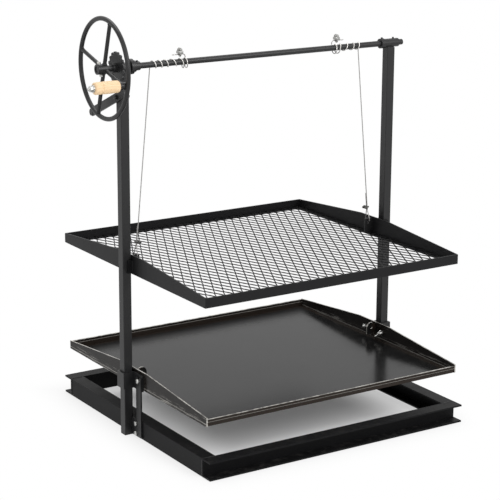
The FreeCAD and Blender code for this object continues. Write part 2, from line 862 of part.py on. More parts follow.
def grate_bar(side):
    """Angle bar along the front or the back: an upright leg, and a level leg that carries the mesh."""
    x0 = grate_left + grate_plate
    x1 = grate_right - grate_plate
    outer = grate_front if side < 0 else grate_back
    inner = outer - side * grate_plate
    edge = inner - side * grate_ledge
    leg = box(x0, x1, min(outer, inner), max(outer, inner), grate_z, grate_z + grate_end_height)
    ledge = box(x0, x1, min(inner, edge), max(inner, edge), grate_z, grate_z + grate_plate)
    return joined(leg, ledge)


def clipped(outline, axis, limit, keep_below):
    """Part of a convex outline on one side of a limit along one axis."""
    kept = []
    for p, q in zip(outline, outline[1:] + outline[:1]):
        p_in = p[axis] <= limit if keep_below else p[axis] >= limit
        q_in = q[axis] <= limit if keep_below else q[axis] >= limit
        if p_in:
            kept.append(p)
        if p_in != q_in:
            share = (limit - p[axis]) / (q[axis] - p[axis])
            kept.append((p[0] + share * (q[0] - p[0]), p[1] + share * (q[1] - p[1])))
    return kept


def outline_area(outline):
    pairs = zip(outline, outline[1:] + outline[:1])
    return abs(sum(p[0] * q[1] - q[0] * p[1] for p, q in pairs)) / 2


def mesh_gaps(x0, x1, y0, y1):
    """Diamond gaps of the mesh, clockwise, cut off at its border."""
    slant = math.hypot(mesh_pitch_x, mesh_pitch_y)
    half_x = mesh_pitch_x / 2 - mesh_strand / 2 * slant / mesh_pitch_y
    half_y = mesh_pitch_y / 2 - mesh_strand / 2 * slant / mesh_pitch_x
    middle_x = (x0 + x1) / 2
    middle_y = (y0 + y1) / 2
    columns = int((x1 - x0) / mesh_pitch_x) + 2
    rows = int((y1 - y0) / mesh_pitch_y) + 2
    gaps = []
    for i in range(-columns, columns + 1):
        for j in range(-rows, rows + 1):
            if (i + j) % 2:
                continue
            x = middle_x + i * mesh_pitch_x / 2
            y = middle_y + j * mesh_pitch_y / 2
            gap = [(x - half_x, y), (x, y + half_y), (x + half_x, y), (x, y - half_y)]
            for axis, limit, below in ((0, x0, False), (0, x1, True), (1, y0, False), (1, y1, True)):
                gap = clipped(gap, axis, limit, below)
            if len(gap) > 2 and outline_area(gap) > mesh_smallest:
                gaps.append(gap)
    return gaps


def grate_mesh():
    x0 = grate_left + grate_plate
    x1 = grate_right - grate_plate
    y0 = grate_front + grate_plate
    y1 = grate_back - grate_plate
    z = grate_z + grate_plate
    outlines = [[(x0, y0), (x1, y0), (x1, y1), (x0, y1)]]
    outlines += mesh_gaps(x0 + mesh_border, x1 - mesh_border, y0 + mesh_border, y1 - mesh_border)
    wires = []
    for outline in outlines:
        points = [V(x, y, z) for x, y in outline]
        wires.append(Part.makePolygon(points + [points[0]]))
    sheet = Part.Face(wires).extrude(V(0, 0, mesh_thickness))
    open_area = sum(outline_area(gap) for gap in outlines[1:])
    expected = (outline_area(outlines[0]) - open_area) * mesh_thickness
    print("mesh: %d gaps, volume %.5f of area times thickness" % (len(wires) - 1, sheet.Volume / expected))
    return sheet


def guide_tab(side, end):
    """Tab that stands out from a side plate, in front of the post or behind it."""
    plate = grate_left if side < 0 else grate_right
    reach = left_post_x if side < 0 else right_post_x
    near = post_y + end * (post_size / 2 + guide_post_gap)
    far = near + end * guide_thickness
    return box(min(plate, reach), max(plate, reach), min(near, far), max(near, far),
               grate_z + guide_margin, grate_z + grate_mid_height - guide_top_margin)


def wire_lug(side):
    plate = grate_left + grate_plate if side < 0 else grate_right - grate_plate
    inner = plate - side * lug_width
    low = grate_z + grate_plate + mesh_thickness
    front = post_y - lug_thickness / 2
    lug = box(min(plate, inner), max(plate, inner), front, front + lug_thickness, low, lug_top)
    mouth = V(hole_x(side), front, lug_hole_z)
    return lug.cut(Part.makeCylinder(lug_hole_diameter / 2, lug_thickness, mouth, V(0, 1, 0)))


# Fire tray
def strap_holes(side):
    diameter = strap_bolt_diameter + 2 * hole_gap
    far = side * 2 * base_edge
    return [rod_x(diameter, 0, far, y, strap_bolt_z) for y in (front_bolt_y, rear_bolt_y)]


def tray_side(side):
    outline = raised_outline(-tray_depth / 2, tray_depth / 2, tray_z, tray_end_height, tray_mid_height,
                             tray_flat)
    return prism_x(outline, side * (tray_edge - tray_plate), side * tray_edge).cut(strap_holes(side))


def tray_pan():
    half = tray_depth / 2 - tray_sheet
    front_top = tray_z + tray_front_wall
    rear_top = tray_z + tray_rear_wall
    line = [(-half, front_top), (-half, tray_z), (half, tray_z), (half, rear_top)]
    reach = tray_edge - tray_plate
    pan = prism_x(folded_outline(line, tray_sheet), -reach, reach)
    hems = [box(-reach, reach, min(y, y + t), max(y, y + t), top - hem_height, top)
            for y, t, top in ((-half, -tray_sheet, front_top), (half, tray_sheet, rear_top))]
    return joined(pan, *hems)


def post_strap(side):
    """Flat bar folded around a post, with an ear in front of it and one behind, against the tray's side."""
    wall = left_post_outer if side < 0 else right_post_outer
    depth = abs(wall) + strap_post_gap - tray_edge
    line = [(0, front_bolt_y - strap_ear_margin), (0, strap_front), (-depth, strap_front),
            (-depth, strap_back), (0, strap_back), (0, rear_bolt_y + strap_ear_margin)]
    outline = [(side * (tray_edge - away), y) for away, y in folded_outline(line, strap_thickness)]
    return prism_z(outline, strap_bottom, strap_bottom + strap_height).cut(strap_holes(side))


def tray_lug(side):
    """Upright ear with a round top and a hole, square to the inside of a tray side."""
    wall = tray_edge - tray_plate
    inner = wall - tray_lug_reach
    radius = tray_lug_reach / 2
    front = post_y - tray_lug_offset - tray_lug_thickness / 2
    eye_z = tray_z + tray_lug_height - radius
    foot = V(side * wall, front, tray_z + tray_lug_foot)
    shoulder = V(side * wall, front, eye_z)
    top = V(side * (wall - radius), front, eye_z + radius)
    inner_shoulder = V(side * inner, front, eye_z)
    inner_foot = V(side * inner, front, tray_z + tray_lug_side_foot)
    edges = [Part.makeLine(foot, shoulder), Part.Arc(shoulder, top, inner_shoulder).toShape(),
             Part.makeLine(inner_shoulder, inner_foot), Part.makeLine(inner_foot, foot)]
    lug = Part.Face(Part.Wire(edges)).extrude(V(0, tray_lug_thickness, 0))
    mouth = V(side * (wall - radius), front, eye_z)
    return lug.cut(Part.makeCylinder(tray_lug_hole / 2, tray_lug_thickness, mouth, V(0, 1, 0)))


def front_bolt(side):
    head = side * (base_edge + stay_thickness + face_gap)
    end = side * (tray_edge - tray_plate - face_gap - wing_hub_length - strap_bolt_end)
    return bolt_x(strap_bolt_diameter, strap_bolt_flats, strap_head_height, head, end,
                  front_bolt_y, strap_bolt_z)


def rear_bolt(side):
    return nutted_bolt_x(strap_bolt_diameter, strap_bolt_flats, strap_head_height, strap_nut_height,
                         side * (tray_edge + strap_thickness), side * (tray_edge - tray_plate),
                         strap_bolt_end, rear_bolt_y, strap_bolt_z)


def wing_nut(side):
    seat = side * (tray_edge - tray_plate - face_gap)
    end = seat - side * wing_hub_length
    tip = end - side * wing_rise
    hub = rod_x(wing_hub_diameter, seat, end, front_bolt_y, strap_bolt_z)
    root = wing_hub_diameter / 2
    wing = [(end + side * wing_root, 0), (end + side * wing_root, root), (end, wing_span / 2),
            (tip, wing_span / 2), (end, root), (end, 0)]
    low = strap_bolt_z - wing_thickness / 2
    wings = []
    for way in (-1, 1):
        outline = [(x, front_bolt_y + way * y) for x, y in wing]
        wings.append(prism_z(outline, low, low + wing_thickness))
    bore = rod_x(strap_bolt_diameter + 2 * run_gap, seat, end, front_bolt_y, strap_bolt_z)
    nut = joined(hub, *wings).cut(bore)
    nut.rotate(V(0, front_bolt_y, strap_bolt_z), V(1, 0, 0), wing_angle)
    return nut


# Every piece under its name
def all_pieces():
    pieces = {
        "front_channel": end_channel(-1),
        "rear_channel": end_channel(1),
        "left_post": post(left_post_x, True),
        "right_post": post(right_post_x, False),
        "right_post_spacer": post_spacer(),
        "left_bearing": left_bearing(),
        "right_bearing": right_bearing(),
        "pawl_bolt": pawl_bolt(),
        "lift_shaft": lift_shaft(),
        "handwheel": handwheel(),
        "hub_screw_upper": hub_screw(1),
        "hub_screw_lower": hub_screw(-1),
        "handle_bolt": handle_bolt(),
        "handle_grip": handle_grip(),
        "ratchet_sprocket": ratchet_sprocket(),
        "pawl_lever": pawl_lever(),
        "grate_front_bar": grate_bar(-1),
        "grate_rear_bar": grate_bar(1),
        "grate_mesh": grate_mesh(),
        "tray_pan": tray_pan(),
    }
    for side, word in ((-1, "left"), (1, "right")):
        pieces[word + "_channel"] = side_channel(side)
        pieces[word + "_stay"] = stay(side)
        pieces[word + "_stay_bolts"] = stay_bolts(side)
        pieces[word + "_collar"] = collar(side)
        pieces[word + "_collar_screw"] = collar_screw(side)
        pieces[word + "_winding"] = winding(side, word + "_winding")
        pieces[word + "_tail_clip"] = tail_clip(side)
        pieces[word + "_wire"] = lifting_wire(side)
        pieces[word + "_wire_eye"] = tube(word + "_wire_eye", eye_path(side), wire_diameter)
        pieces[word + "_eye_clip"] = eye_clip(side)
        pieces["grate_" + word + "_side"] = grate_side(side)
        pieces[word + "_front_guide"] = guide_tab(side, -1)
        pieces[word + "_rear_guide"] = guide_tab(side, 1)
        pieces[word + "_lug"] = wire_lug(side)
        pieces["tray_" + word + "_side"] = tray_side(side)
        pieces[word + "_strap"] = post_strap(side)
        pieces[word + "_tray_lug"] = tray_lug(side)
        pieces[word + "_front_bolt"] = front_bolt(side)
        pieces[word + "_rear_bolt"] = rear_bolt(side)
        pieces[word + "_wing_nut"] = wing_nut(side)
    return pieces


os.makedirs("parts", exist_ok=True)
total = 0
for name, shape in all_pieces().items():
    shape.translate(V(shift_x, 0, 0))
    if len(shape.Solids) > 1:
        print("%s has %d solids" % (name, len(shape.Solids)))
    shape.exportStep("parts/%s.step" % name)
    total += 1
print("%d pieces, moved along X by %.3f" % (total, shift_x))
print("shaft axis at Y %.3f Z %.3f, winding radius %.3f" % (post_y, shaft_z, winding_radius))
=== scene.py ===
# %% [markdown]
# # Crank-lift campfire grill
# A mesh cooking grate hangs on two wire ropes from a hand-turned shaft, above a fire tray, on a frame of
# black channel and square tube. The solids come from CAD and stay where they are. This lesson dresses
# them: it gives each one a finish made of nodes, and rebuilds the pieces whose small forms a plain solid
# leaves out. The file is read from top to bottom, and each cell prints what it made.

# %% Load the CAD model
import json
import math

import bmesh
import bpy
from mathutils import Matrix, Vector, noise


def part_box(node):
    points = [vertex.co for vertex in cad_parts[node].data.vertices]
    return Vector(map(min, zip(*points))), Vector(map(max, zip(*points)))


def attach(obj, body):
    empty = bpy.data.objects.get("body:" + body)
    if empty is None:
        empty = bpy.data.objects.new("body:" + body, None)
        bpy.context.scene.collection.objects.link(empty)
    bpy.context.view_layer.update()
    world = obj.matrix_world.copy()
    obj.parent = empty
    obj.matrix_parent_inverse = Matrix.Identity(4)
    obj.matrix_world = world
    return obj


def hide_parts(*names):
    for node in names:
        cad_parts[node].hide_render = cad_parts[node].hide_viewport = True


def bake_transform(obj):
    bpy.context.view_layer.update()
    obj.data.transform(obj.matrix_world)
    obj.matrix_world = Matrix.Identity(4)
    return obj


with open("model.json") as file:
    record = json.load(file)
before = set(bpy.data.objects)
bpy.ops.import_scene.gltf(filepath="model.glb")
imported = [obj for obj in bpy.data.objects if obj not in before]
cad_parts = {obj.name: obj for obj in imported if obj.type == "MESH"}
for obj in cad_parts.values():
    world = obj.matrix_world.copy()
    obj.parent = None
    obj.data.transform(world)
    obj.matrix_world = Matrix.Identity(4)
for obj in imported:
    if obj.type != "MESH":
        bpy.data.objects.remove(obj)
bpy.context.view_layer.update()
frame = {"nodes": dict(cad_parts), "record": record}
nodes = frame["nodes"]
MM = 0.001

# %% [markdown]
# ## Camera
# The photograph was taken from the front left, a little above the grate, with a long lens. The camera's
# place was solved from corners of the base, tray and grate, so it is written here as numbers. A rotation
# made of the camera's own right, up and back directions needs no tracking constraint.

# %% Camera
base_low, base_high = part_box("front_channel")
BASE_MIDDLE = (base_low.x + base_high.x) / 2
CAMERA_PLACE = Vector((BASE_MIDDLE - 2.8806, -4.4155, 1.9233))
CAMERA_TURN = math.radians(-32.783)
CAMERA_DIP = math.radians(14.969)
CAMERA_ROLL = math.radians(0.321)
CAMERA_LENS = 126.56


def make_camera():
    right = Vector((math.cos(CAMERA_TURN), math.sin(CAMERA_TURN), 0))
    ahead = Vector((-math.sin(CAMERA_TURN) * math.cos(CAMERA_DIP),
                    math.cos(CAMERA_TURN) * math.cos(CAMERA_DIP), -math.sin(CAMERA_DIP)))
    up = right.cross(ahead)
    level = Matrix((right, up, -ahead)).transposed()
    data = bpy.data.cameras.new("camera")
    data.lens = CAMERA_LENS
    data.sensor_width = 36.0
    data.clip_end = 100.0
    camera = bpy.data.objects.new("camera", data)
    bpy.context.scene.collection.objects.link(camera)
    rolled = level @ Matrix.Rotation(CAMERA_ROLL, 3, "Z")
    camera.matrix_world = Matrix.Translation(CAMERA_PLACE) @ rolled.to_4x4()
    bpy.context.scene.camera = camera
    return camera


print("camera at", [round(v, 3) for v in make_camera().location])

# %% [markdown]
# ## Shader maths as expressions
# A finish is a sum of small patterns. Writing each one as nodes and links hides the sum, so a socket is
# wrapped in a class that knows plus, minus, times and power. All other nodes come from one method, which
# sets a node's settings first and then its inputs.


# %% Sockets with arithmetic
class Flow:
    """A value that runs through a finish's nodes."""

    def __init__(self, finish, socket):
        self.finish = finish
        self.socket = socket

    def maths(self, operation, first, second):
        return self.finish.node("ShaderNodeMath", {"operation": operation}, {0: first, 1: second})

    def __add__(self, other):
        return self.maths("ADD", self, other)

    def __radd__(self, other):
        return self.maths("ADD", other, self)

    def __sub__(self, other):
        return self.maths("SUBTRACT", self, other)

    def __rsub__(self, other):
        return self.maths("SUBTRACT", other, self)

    def __mul__(self, other):
        return self.maths("MULTIPLY", self, other)

    def __rmul__(self, other):
        return self.maths("MULTIPLY", other, self)

    def __pow__(self, other):
        return self.maths("POWER", self, other)

    def __rpow__(self, other):
        return self.maths("POWER", other, self)


print("sockets know plus, minus, times and power")


# %% A finish and its patterns
class Finish:
    """The nodes of a material or of the world, and helpers for the patterns that feed its shader."""

    def __init__(self, holder):
        self.holder = holder
        holder.use_nodes = True
        self.tree = holder.node_tree

    def node(self, kind, settings=None, inputs=None, output=0):
        made = self.tree.nodes.new(kind)
        for key, value in (settings or {}).items():
            if key == "stops":
                self.set_stops(made.color_ramp, value)
            else:
                setattr(made, key, value)
        for key, value in (inputs or {}).items():
            self.feed(made.inputs[key], value)
        return Flow(self, made.outputs[output])

    def set_stops(self, ramp, stops):
        while len(ramp.elements) < len(stops):
            ramp.elements.new(1.0)
        for element, (place, colour) in zip(ramp.elements, stops):
            element.position = place
            element.color = (*colour, 1.0)

    def feed(self, socket, value):
        if isinstance(value, Flow):
            self.tree.links.new(value.socket, socket)
        else:
            socket.default_value = value

    def surface(self, **inputs):
        shader = self.tree.nodes["Principled BSDF"]
        for key, value in inputs.items():
            self.feed(shader.inputs[key.replace("_", " ")], value)
        return self.holder

    def place(self):
        return self.node("ShaderNodeTexCoord", output="Object")

    def facing(self):
        return self.node("ShaderNodeTexCoord", output="Normal")

    def axes(self, vector):
        split = self.node("ShaderNodeSeparateXYZ", None, {0: vector})
        return [Flow(self, output) for output in split.socket.node.outputs]

    def stretched(self, scale):
        return self.node("ShaderNodeVectorMath", {"operation": "MULTIPLY"}, {0: self.place(), 1: scale})

    def cloud(self, scale, detail=4.0, rough=0.55, stretch=None):
        vector = self.stretched(stretch) if stretch else self.place()
        return self.node("ShaderNodeTexNoise", None,
                         {"Vector": vector, "Scale": scale, "Detail": detail, "Roughness": rough})

    def step(self, value, low, high):
        return self.node("ShaderNodeMapRange", {"interpolation_type": "SMOOTHSTEP"},
                         {"Value": value, "From Min": low, "From Max": high})

    def ramp(self, value, stops):
        return self.node("ShaderNodeValToRGB", {"stops": stops}, {0: value})

    def mix(self, share, first, second):
        first, second = [c if isinstance(c, Flow) else (*c, 1.0) for c in (first, second)]
        return self.node("ShaderNodeMix", {"data_type": "RGBA"}, {0: share, 6: first, 7: second}, output=2)

    def bump(self, height, depth, strength=1.0):
        return self.node("ShaderNodeBump", None, {"Height": height, "Distance": depth, "Strength": strength})

    def size(self, value):
        return self.node("ShaderNodeMath", {"operation": "ABSOLUTE"}, {0: value})

    def wave(self, value):
        return self.node("ShaderNodeMath", {"operation": "SINE"}, {0: value})

    def larger(self, first, second):
        return self.node("ShaderNodeMath", {"operation": "MAXIMUM"}, {0: first, 1: second})

    def shown(self):
        """1 for rays that show the background: the camera's, and those off metal or through clear pieces."""
        rays = self.node("ShaderNodeLightPath").socket.node.outputs
        kinds = ("Is Camera Ray", "Is Glossy Ray", "Is Transmission Ray")
        total = sum(Flow(self, rays[kind]) for kind in kinds)
        return self.node("ShaderNodeMath", {"operation": "MINIMUM"}, {0: total, 1: 1.0})


print("finish helpers ready")

# %% [markdown]
# ## Black powder coat
# Frame, grate and wheel are sprayed with black powder and baked. The coat has the fine dimples that are
# called orange peel, and holds a little pale dust on faces that look up. Dimples are a noise of about 2 mm
# in the bump, and a slow noise moves tone and roughness, so that no face is one flat tone. Posts, shaft and
# wheel are satin. The grate, its mesh and the base are flatter and darker: their darker tone is painted
# shade, for the darker room that these pieces mirror. One function makes all four coats from a dark and a
# light tone, a roughness and a gloss. A picture would have to be unwrapped onto every solid. Noise that
# reads the place of a point needs no unwrapping, so all finishes here are made of it.

# %% Powder coat
DUST = (0.20, 0.19, 0.18)
PEEL_DEPTH = 0.12 * MM


def powder_coat(name, dark, light, rough, gloss):
    finish = Finish(bpy.data.materials.new(name))
    slow = finish.cloud(9.0, 3.0)
    fine = finish.cloud(420.0, 2.0, 0.5)
    specks = finish.step(finish.cloud(900.0, 2.0, 0.7), 0.66, 0.72)
    up = finish.axes(finish.facing())[2]
    dust = finish.step(up, 0.5, 1.0) * finish.step(finish.cloud(35.0, 5.0, 0.65), 0.45, 0.75)
    dusty = finish.mix(dust * 0.10 + specks * 0.04, finish.mix(slow, dark, light), DUST)
    return finish.surface(Base_Color=dusty, Roughness=rough - 0.06 + 0.12 * slow + 0.12 * dust,
                          Specular_IOR_Level=gloss, Normal=finish.bump(fine, PEEL_DEPTH, 0.5))


coat = powder_coat("satin_black_coat", (0.007, 0.007, 0.0075), (0.013, 0.013, 0.0135), 0.42, 0.36)
# Darker copies of the satin coat: their darker tones are painted shade.
flat_coat = powder_coat("flat_black_coat", (0.005, 0.005, 0.0055), (0.009, 0.009, 0.0095), 0.46, 0.16)
mesh_coat = powder_coat("mesh_black_coat", (0.004, 0.004, 0.0045), (0.007, 0.007, 0.0075), 0.50, 0.08)
base_coat = powder_coat("base_black_coat", (0.005, 0.005, 0.0055), (0.008, 0.008, 0.0085), 0.46, 0.08)
print("made", coat.name, flat_coat.name, mesh_coat.name, base_coat.name)

# %% [markdown]
# ## Bare steel of the tray
# The tray is left unpainted. Hot-rolled sheet has a near-black scale with clouds and long streaks in the
# rolling direction, under a film of oil that mirrors the room and is thinner at the rear. Its sheared edges
# are bright, a fold or a seam has a bright line along it, the foot of a side plate is scratched with bright
# flecks, and welding heat leaves brown along the seams. Where each of these is comes from the place of a
# point on the tray and from the way it faces: a plate's cut edges are the faces that do not look along its
# thickness.

# %% Places on the tray
pan_low, pan_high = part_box("tray_pan")
HEM = 8.0 * MM
FRONT_WALL_DROP = 4.0 * MM
PLATE_SEAM = 7.5 * MM
SEAM_FROM_SIDE = (12 * MM, 34 * MM)
SEAM_FROM_END = (16 * MM, 40 * MM)
WALL_RISE = (12 * MM, 16 * MM)
HEAT_RISE = (16 * MM, 26 * MM)
FOOT_RISE = (8 * MM, 26 * MM)
FRONT_CORNER = (4 * MM, 40 * MM)
DULL_REAR = (10 * MM, 150 * MM)
print("tray pan", [round(v, 3) for v in pan_high - pan_low], "m")

# %% Tray steel
SCALE = [(0.3, (0.004, 0.004, 0.0042)), (0.52, (0.008, 0.008, 0.008)), (0.75, (0.014, 0.0135, 0.013))]
STAIN = (0.010, 0.009, 0.008)
HEAT_BROWN = (0.045, 0.028, 0.017)
BARE_GREY = (0.40, 0.38, 0.35)
BARE_PALE = (0.66, 0.64, 0.60)


def tray_steel(name, plate_axis):
    """Steel of a plate whose flat faces look along one axis, or of the folded pan where that is None."""
    finish = Finish(bpy.data.materials.new(name))
    x, y, z = finish.axes(finish.place())
    facing = finish.axes(finish.facing())

    def above_floor(low, high):
        return finish.step(z, pan_low.z + low, pan_low.z + high)

    clouds = finish.cloud(5.0, 5.0, 0.6)
    streaks = finish.cloud(16.0, 6.0, 0.6, (0.18, 3.0, 1.0))
    stains = finish.step(finish.cloud(26.0, 4.0, 0.7), 0.55, 0.8)
    scale = finish.ramp(clouds * 0.6 + streaks * 0.4, SCALE)
    middle_x = (pan_low.x + pan_high.x) / 2
    from_side = (pan_high.x - pan_low.x) / 2 - finish.size(x - middle_x)
    from_end = (pan_high.y - pan_low.y) / 2 - finish.size(y)
    wander = finish.cloud(60.0, 4.0, 0.6) * 0.02
    off_side = finish.step(from_side + wander, *SEAM_FROM_SIDE)
    seam = 1 - off_side * finish.step(from_end + wander, *SEAM_FROM_END)
    if plate_axis is None:
        edge = finish.step(facing[2], 0.55, 0.9) * above_floor(*WALL_RISE)
        front = finish.node("ShaderNodeMath", {"operation": "LESS_THAN"}, {0: y, 1: 0.0})
        line = finish.size(z - (pan_high.z - HEM) + front * FRONT_WALL_DROP)
        heat = seam * (1 - above_floor(*HEAT_RISE))
    else:
        edge = 1 - finish.step(finish.size(facing[plate_axis]), 0.4, 0.8)
        line = finish.size(z - (pan_low.z + PLATE_SEAM))
        heat = seam * (0.3 if plate_axis == 0 else 1.0)
    rubbed = finish.cloud(140.0, 3.0, 0.6)
    # A bright line along the hem's fold on the pan and along the foot seam on a plate.
    seam_bright_line = 1 - finish.step(line + rubbed * 0.6 * MM, 0.7 * MM, 1.5 * MM)
    worn = seam_bright_line * (0.0 if plate_axis == 1 else 0.55)
    if plate_axis is not None:
        corner = 1 - finish.step(y - pan_low.y, *FRONT_CORNER)
        near_foot = finish.larger(1 - above_floor(*FOOT_RISE), corner)
        flecks = finish.step(finish.cloud(220.0, 4.0, 0.7, (1.0, 0.06, 1.6)), 0.52, 0.66) * near_foot
        worn = finish.larger(worn, flecks * 0.6)
    ground = finish.step(finish.cloud(45.0, 5.0, 0.7, (1.0, 0.35, 2.0)), 0.38, 0.62)
    bare = finish.larger(edge * (0.30 + 0.70 * ground), worn)
    brown = finish.mix(heat * 0.3, scale, HEAT_BROWN)
    bright = finish.mix(rubbed, BARE_GREY, BARE_PALE)
    colour = finish.mix(bare, finish.mix(stains * 0.3, brown, STAIN), bright)
    dull = 1 - finish.step(pan_high.y - y, *DULL_REAR)
    rough = 0.13 + 0.10 * streaks + 0.08 * stains + 0.06 * heat + 0.12 * bare + 0.25 * dull
    return finish.surface(Base_Color=colour, Metallic=0.8 * bare, Roughness=rough, Specular_IOR_Level=0.12,
                          Normal=finish.bump(streaks + 0.4 * clouds, 0.25 * MM, 0.4))


pan_steel = tray_steel("tray_pan_steel", None)
side_steel = tray_steel("tray_side_steel", 0)
lug_steel = tray_steel("tray_lug_steel", 1)
print("made", pan_steel.name, side_steel.name, lug_steel.name)

# %% [markdown]
# ## Zinc, wire rope and wood
# Bolts, nuts, clips and screws are zinc plated: a pale grey metal with a faint yellow cast that gathers in
# patches. The clips on the tails are given a duller tone and those above the fire a darker one, so the
# plate's tone is a parameter. The wire rope is grey steel, painted brighter where it lies on the shaft: a
# painted highlight for the light that the wound turns catch, and the distance from the shaft's axis says
# where that is. The grip is pale turned wood, whose rings are a wave across the grain that a noise bends,
# with short dark pores along it.

# %% Zinc plate
ZINC_PATCHES = ((0.70, 0.70, 0.68), (1.0, 1.0, 0.97), (0.90, 0.85, 0.73))


def zinc_plate(name, tone):
    finish = Finish(bpy.data.materials.new(name))
    patches = finish.cloud(130.0, 4.0, 0.6)
    grain = finish.cloud(1500.0, 2.0, 0.6)
    cool, pale, warm = [[tone * part for part in parts] for parts in ZINC_PATCHES]
    colour = finish.ramp(patches, [(0.3, cool), (0.55, pale), (0.75, warm)])
    return finish.surface(Base_Color=colour, Metallic=1.0, Roughness=0.30 + 0.18 * patches,
                          Normal=finish.bump(grain, 0.05 * MM, 0.4))


# The three plates differ only in tone: the tail clips get a duller one and the eye clips a darker one.
zinc = zinc_plate("zinc_plate", 0.60)
tail_zinc = zinc_plate("dull_zinc_plate", 0.38)
eye_zinc = zinc_plate("dark_zinc_plate", 0.12)
print("made", zinc.name, tail_zinc.name, eye_zinc.name)

# %% Rope steel
ROPE_GREY = ((0.42, 0.41, 0.40), (0.18, 0.175, 0.17))
ROPE_PAINTED_HIGHLIGHT = ((0.80, 0.78, 0.75), (0.38, 0.37, 0.36))
PAINTED_HIGHLIGHT_REACH = (12.5 * MM, 14.5 * MM)
LAY_WAVE = 1600.0


def rope_steel(name, shaft_axis=None):
    """Grey rope, with a painted highlight: it is brighter close to the shaft that it is wound on."""
    finish = Finish(bpy.data.materials.new(name))
    x, y, z = finish.axes(finish.place())
    lay = finish.wave((z + x * 0.6 + y * 0.6) * LAY_WAVE)
    grime = finish.cloud(300.0, 4.0, 0.6)
    dirty = finish.step(grime + 0.15 * lay, 0.4, 0.75)
    colour = finish.mix(dirty, *ROPE_GREY)
    if shaft_axis:
        reach = ((y - shaft_axis[0]) ** 2 + (z - shaft_axis[1]) ** 2) ** 0.5
        # Painted highlight: within this reach of the shaft's axis the rope takes the brighter tones.
        colour = finish.mix(finish.step(reach, *PAINTED_HIGHLIGHT_REACH), finish.mix(dirty, *ROPE_PAINTED_HIGHLIGHT), colour)
    return finish.surface(Base_Color=colour, Metallic=0.9, Roughness=0.34 + 0.12 * grime,
                          Normal=finish.bump(lay, 0.2 * MM, 0.5))


shaft_middle = sum(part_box("lift_shaft"), Vector()) / 2
rope = rope_steel("rope_steel")
# The wound rope carries the painted highlight.
painted_highlight_rope = rope_steel("rope_steel_painted_highlight", (shaft_middle.y, shaft_middle.z))
print("made", rope.name, painted_highlight_rope.name)

# %% Pale wood
EARLY_WOOD = ((0.75, 0.53, 0.30), (0.88, 0.68, 0.45))
LATE_WOOD = (0.64, 0.41, 0.21)
PORE = (0.33, 0.18, 0.08)
RING_WAVE = 1500.0


def pale_wood(axis):
    finish = Finish(bpy.data.materials.new("pale_wood"))
    _, y, z = finish.axes(finish.place())
    bend = finish.cloud(14.0, 3.0, 0.5, (0.35, 1.0, 1.0))
    across = (y - axis.y) + (z - axis.z) * 0.35 + bend * 0.012
    rings = finish.wave(across * RING_WAVE) * 0.5 + 0.5
    fibre = finish.cloud(900.0, 3.0, 0.6, (0.03, 1.0, 1.0))
    pores = finish.step(finish.cloud(1300.0, 2.0, 0.5, (0.05, 1.0, 1.0)), 0.60, 0.70)
    grown = finish.mix(rings * 0.45, finish.mix(fibre, *EARLY_WOOD), LATE_WOOD)
    colour = finish.mix(pores * 0.35, grown, PORE)
    return finish.surface(Base_Color=colour, Roughness=0.48 + 0.12 * fibre,
                          Normal=finish.bump(fibre + rings * 0.5 - pores, 0.18 * MM, 0.5))


wood = pale_wood(sum(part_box("handle_grip"), Vector()) / 2)
print("made", wood.name)

# %% [markdown]
# ## Finishes on the CAD solids
# Most solids have the right shape already, so each gets its finish by the material slot that the record
# names. The pan, the tray's lugs, the base and the grate have finishes of their own. Solids that get a
# fuller piece later are hidden then.

# %% Dress the solids
slot_of = {row["node"]: row["material_slot"] for row in frame["record"]["subparts"]}
finish_of = {"black_steel": coat, "tray_steel": side_steel, "zinc_steel": zinc, "wire_steel": rope,
             "wood": wood}
own_finish = {"tray_pan": pan_steel, "left_tray_lug": lug_steel, "right_tray_lug": lug_steel}
for name in nodes:
    if name.endswith("_channel"):
        own_finish[name] = base_coat
    elif name.startswith("grate_") or name.endswith("_guide"):
        own_finish[name] = flat_coat
for name, solid in nodes.items():
    solid.data.materials.clear()
    solid.data.materials.append(own_finish.get(name, finish_of[slot_of[name]]))
print("dressed", len(nodes), "solids")

# %% [markdown]
# ## Tools for new pieces
# A piece is a list of points and faces in millimetres. Four makers cover most of them: a lathe, a hexagon
# with turned corners, a thread, and a sweep along a route. Each stacks rings of points, so one function
# skins and closes them all. A thread is a cylinder whose radius follows one helix, so it winds like a real
# one. Modifiers could make these shapes too, but plain points are easy to read, measure and place.


# %% Skins over rings
def grid_faces(rows, columns, closed_rows=False):
    faces = []
    for r in range(rows if closed_rows else rows - 1):
        for c in range(columns):
            right = (c + 1) % columns
            above = (r + 1) % rows
            faces.append((r * columns + c, r * columns + right,
                          above * columns + right, above * columns + c))
    return faces


def capped(rings):
    """Skin over a stack of rings of points, with its first and last rings closed."""
    rows, columns = len(rings), len(rings[0])
    points = [Vector(p) for ring in rings for p in ring]
    faces = grid_faces(rows, columns)
    faces.append(tuple(reversed(range(columns))))
    faces.append(tuple(range((rows - 1) * columns, rows * columns)))
    return points, faces


def circle(radius, z, count):
    return [(radius(a) * math.cos(a), radius(a) * math.sin(a), z)
            for a in (2 * math.pi * k / count for k in range(count))]


def lathe(profile, count=40):
    return capped([circle(lambda a, r=r: r, z, count) for r, z in profile])


print("a plain drum has", len(lathe([(1, 0), (1, 1)])[1]), "faces")

# %% Hexagon and thread
END_SHARE = 0.475
CORNER_SLOPE = 1.7
CORNER_DEPTH = 0.06
THREAD_DEPTH = 0.5
THREAD_FLANK = 0.9
ROWS_PER_TURN = 5


def hexagon(flats, height, count=48):
    """Hexagon along Z whose corners are turned off at both ends."""
    def radius_at(z):
        end = min(z, height - z)

        def radius(angle):
            side = (angle + math.pi / 6) % (math.pi / 3) - math.pi / 6
            return min(flats / 2 / math.cos(side), flats * END_SHARE + end * CORNER_SLOPE)
        return radius
    turned = flats * CORNER_DEPTH
    levels = [0, turned * 0.35, turned * 0.7, turned]
    levels += [height - z for z in reversed(levels)]
    return capped([circle(radius_at(z), z, count) for z in levels])


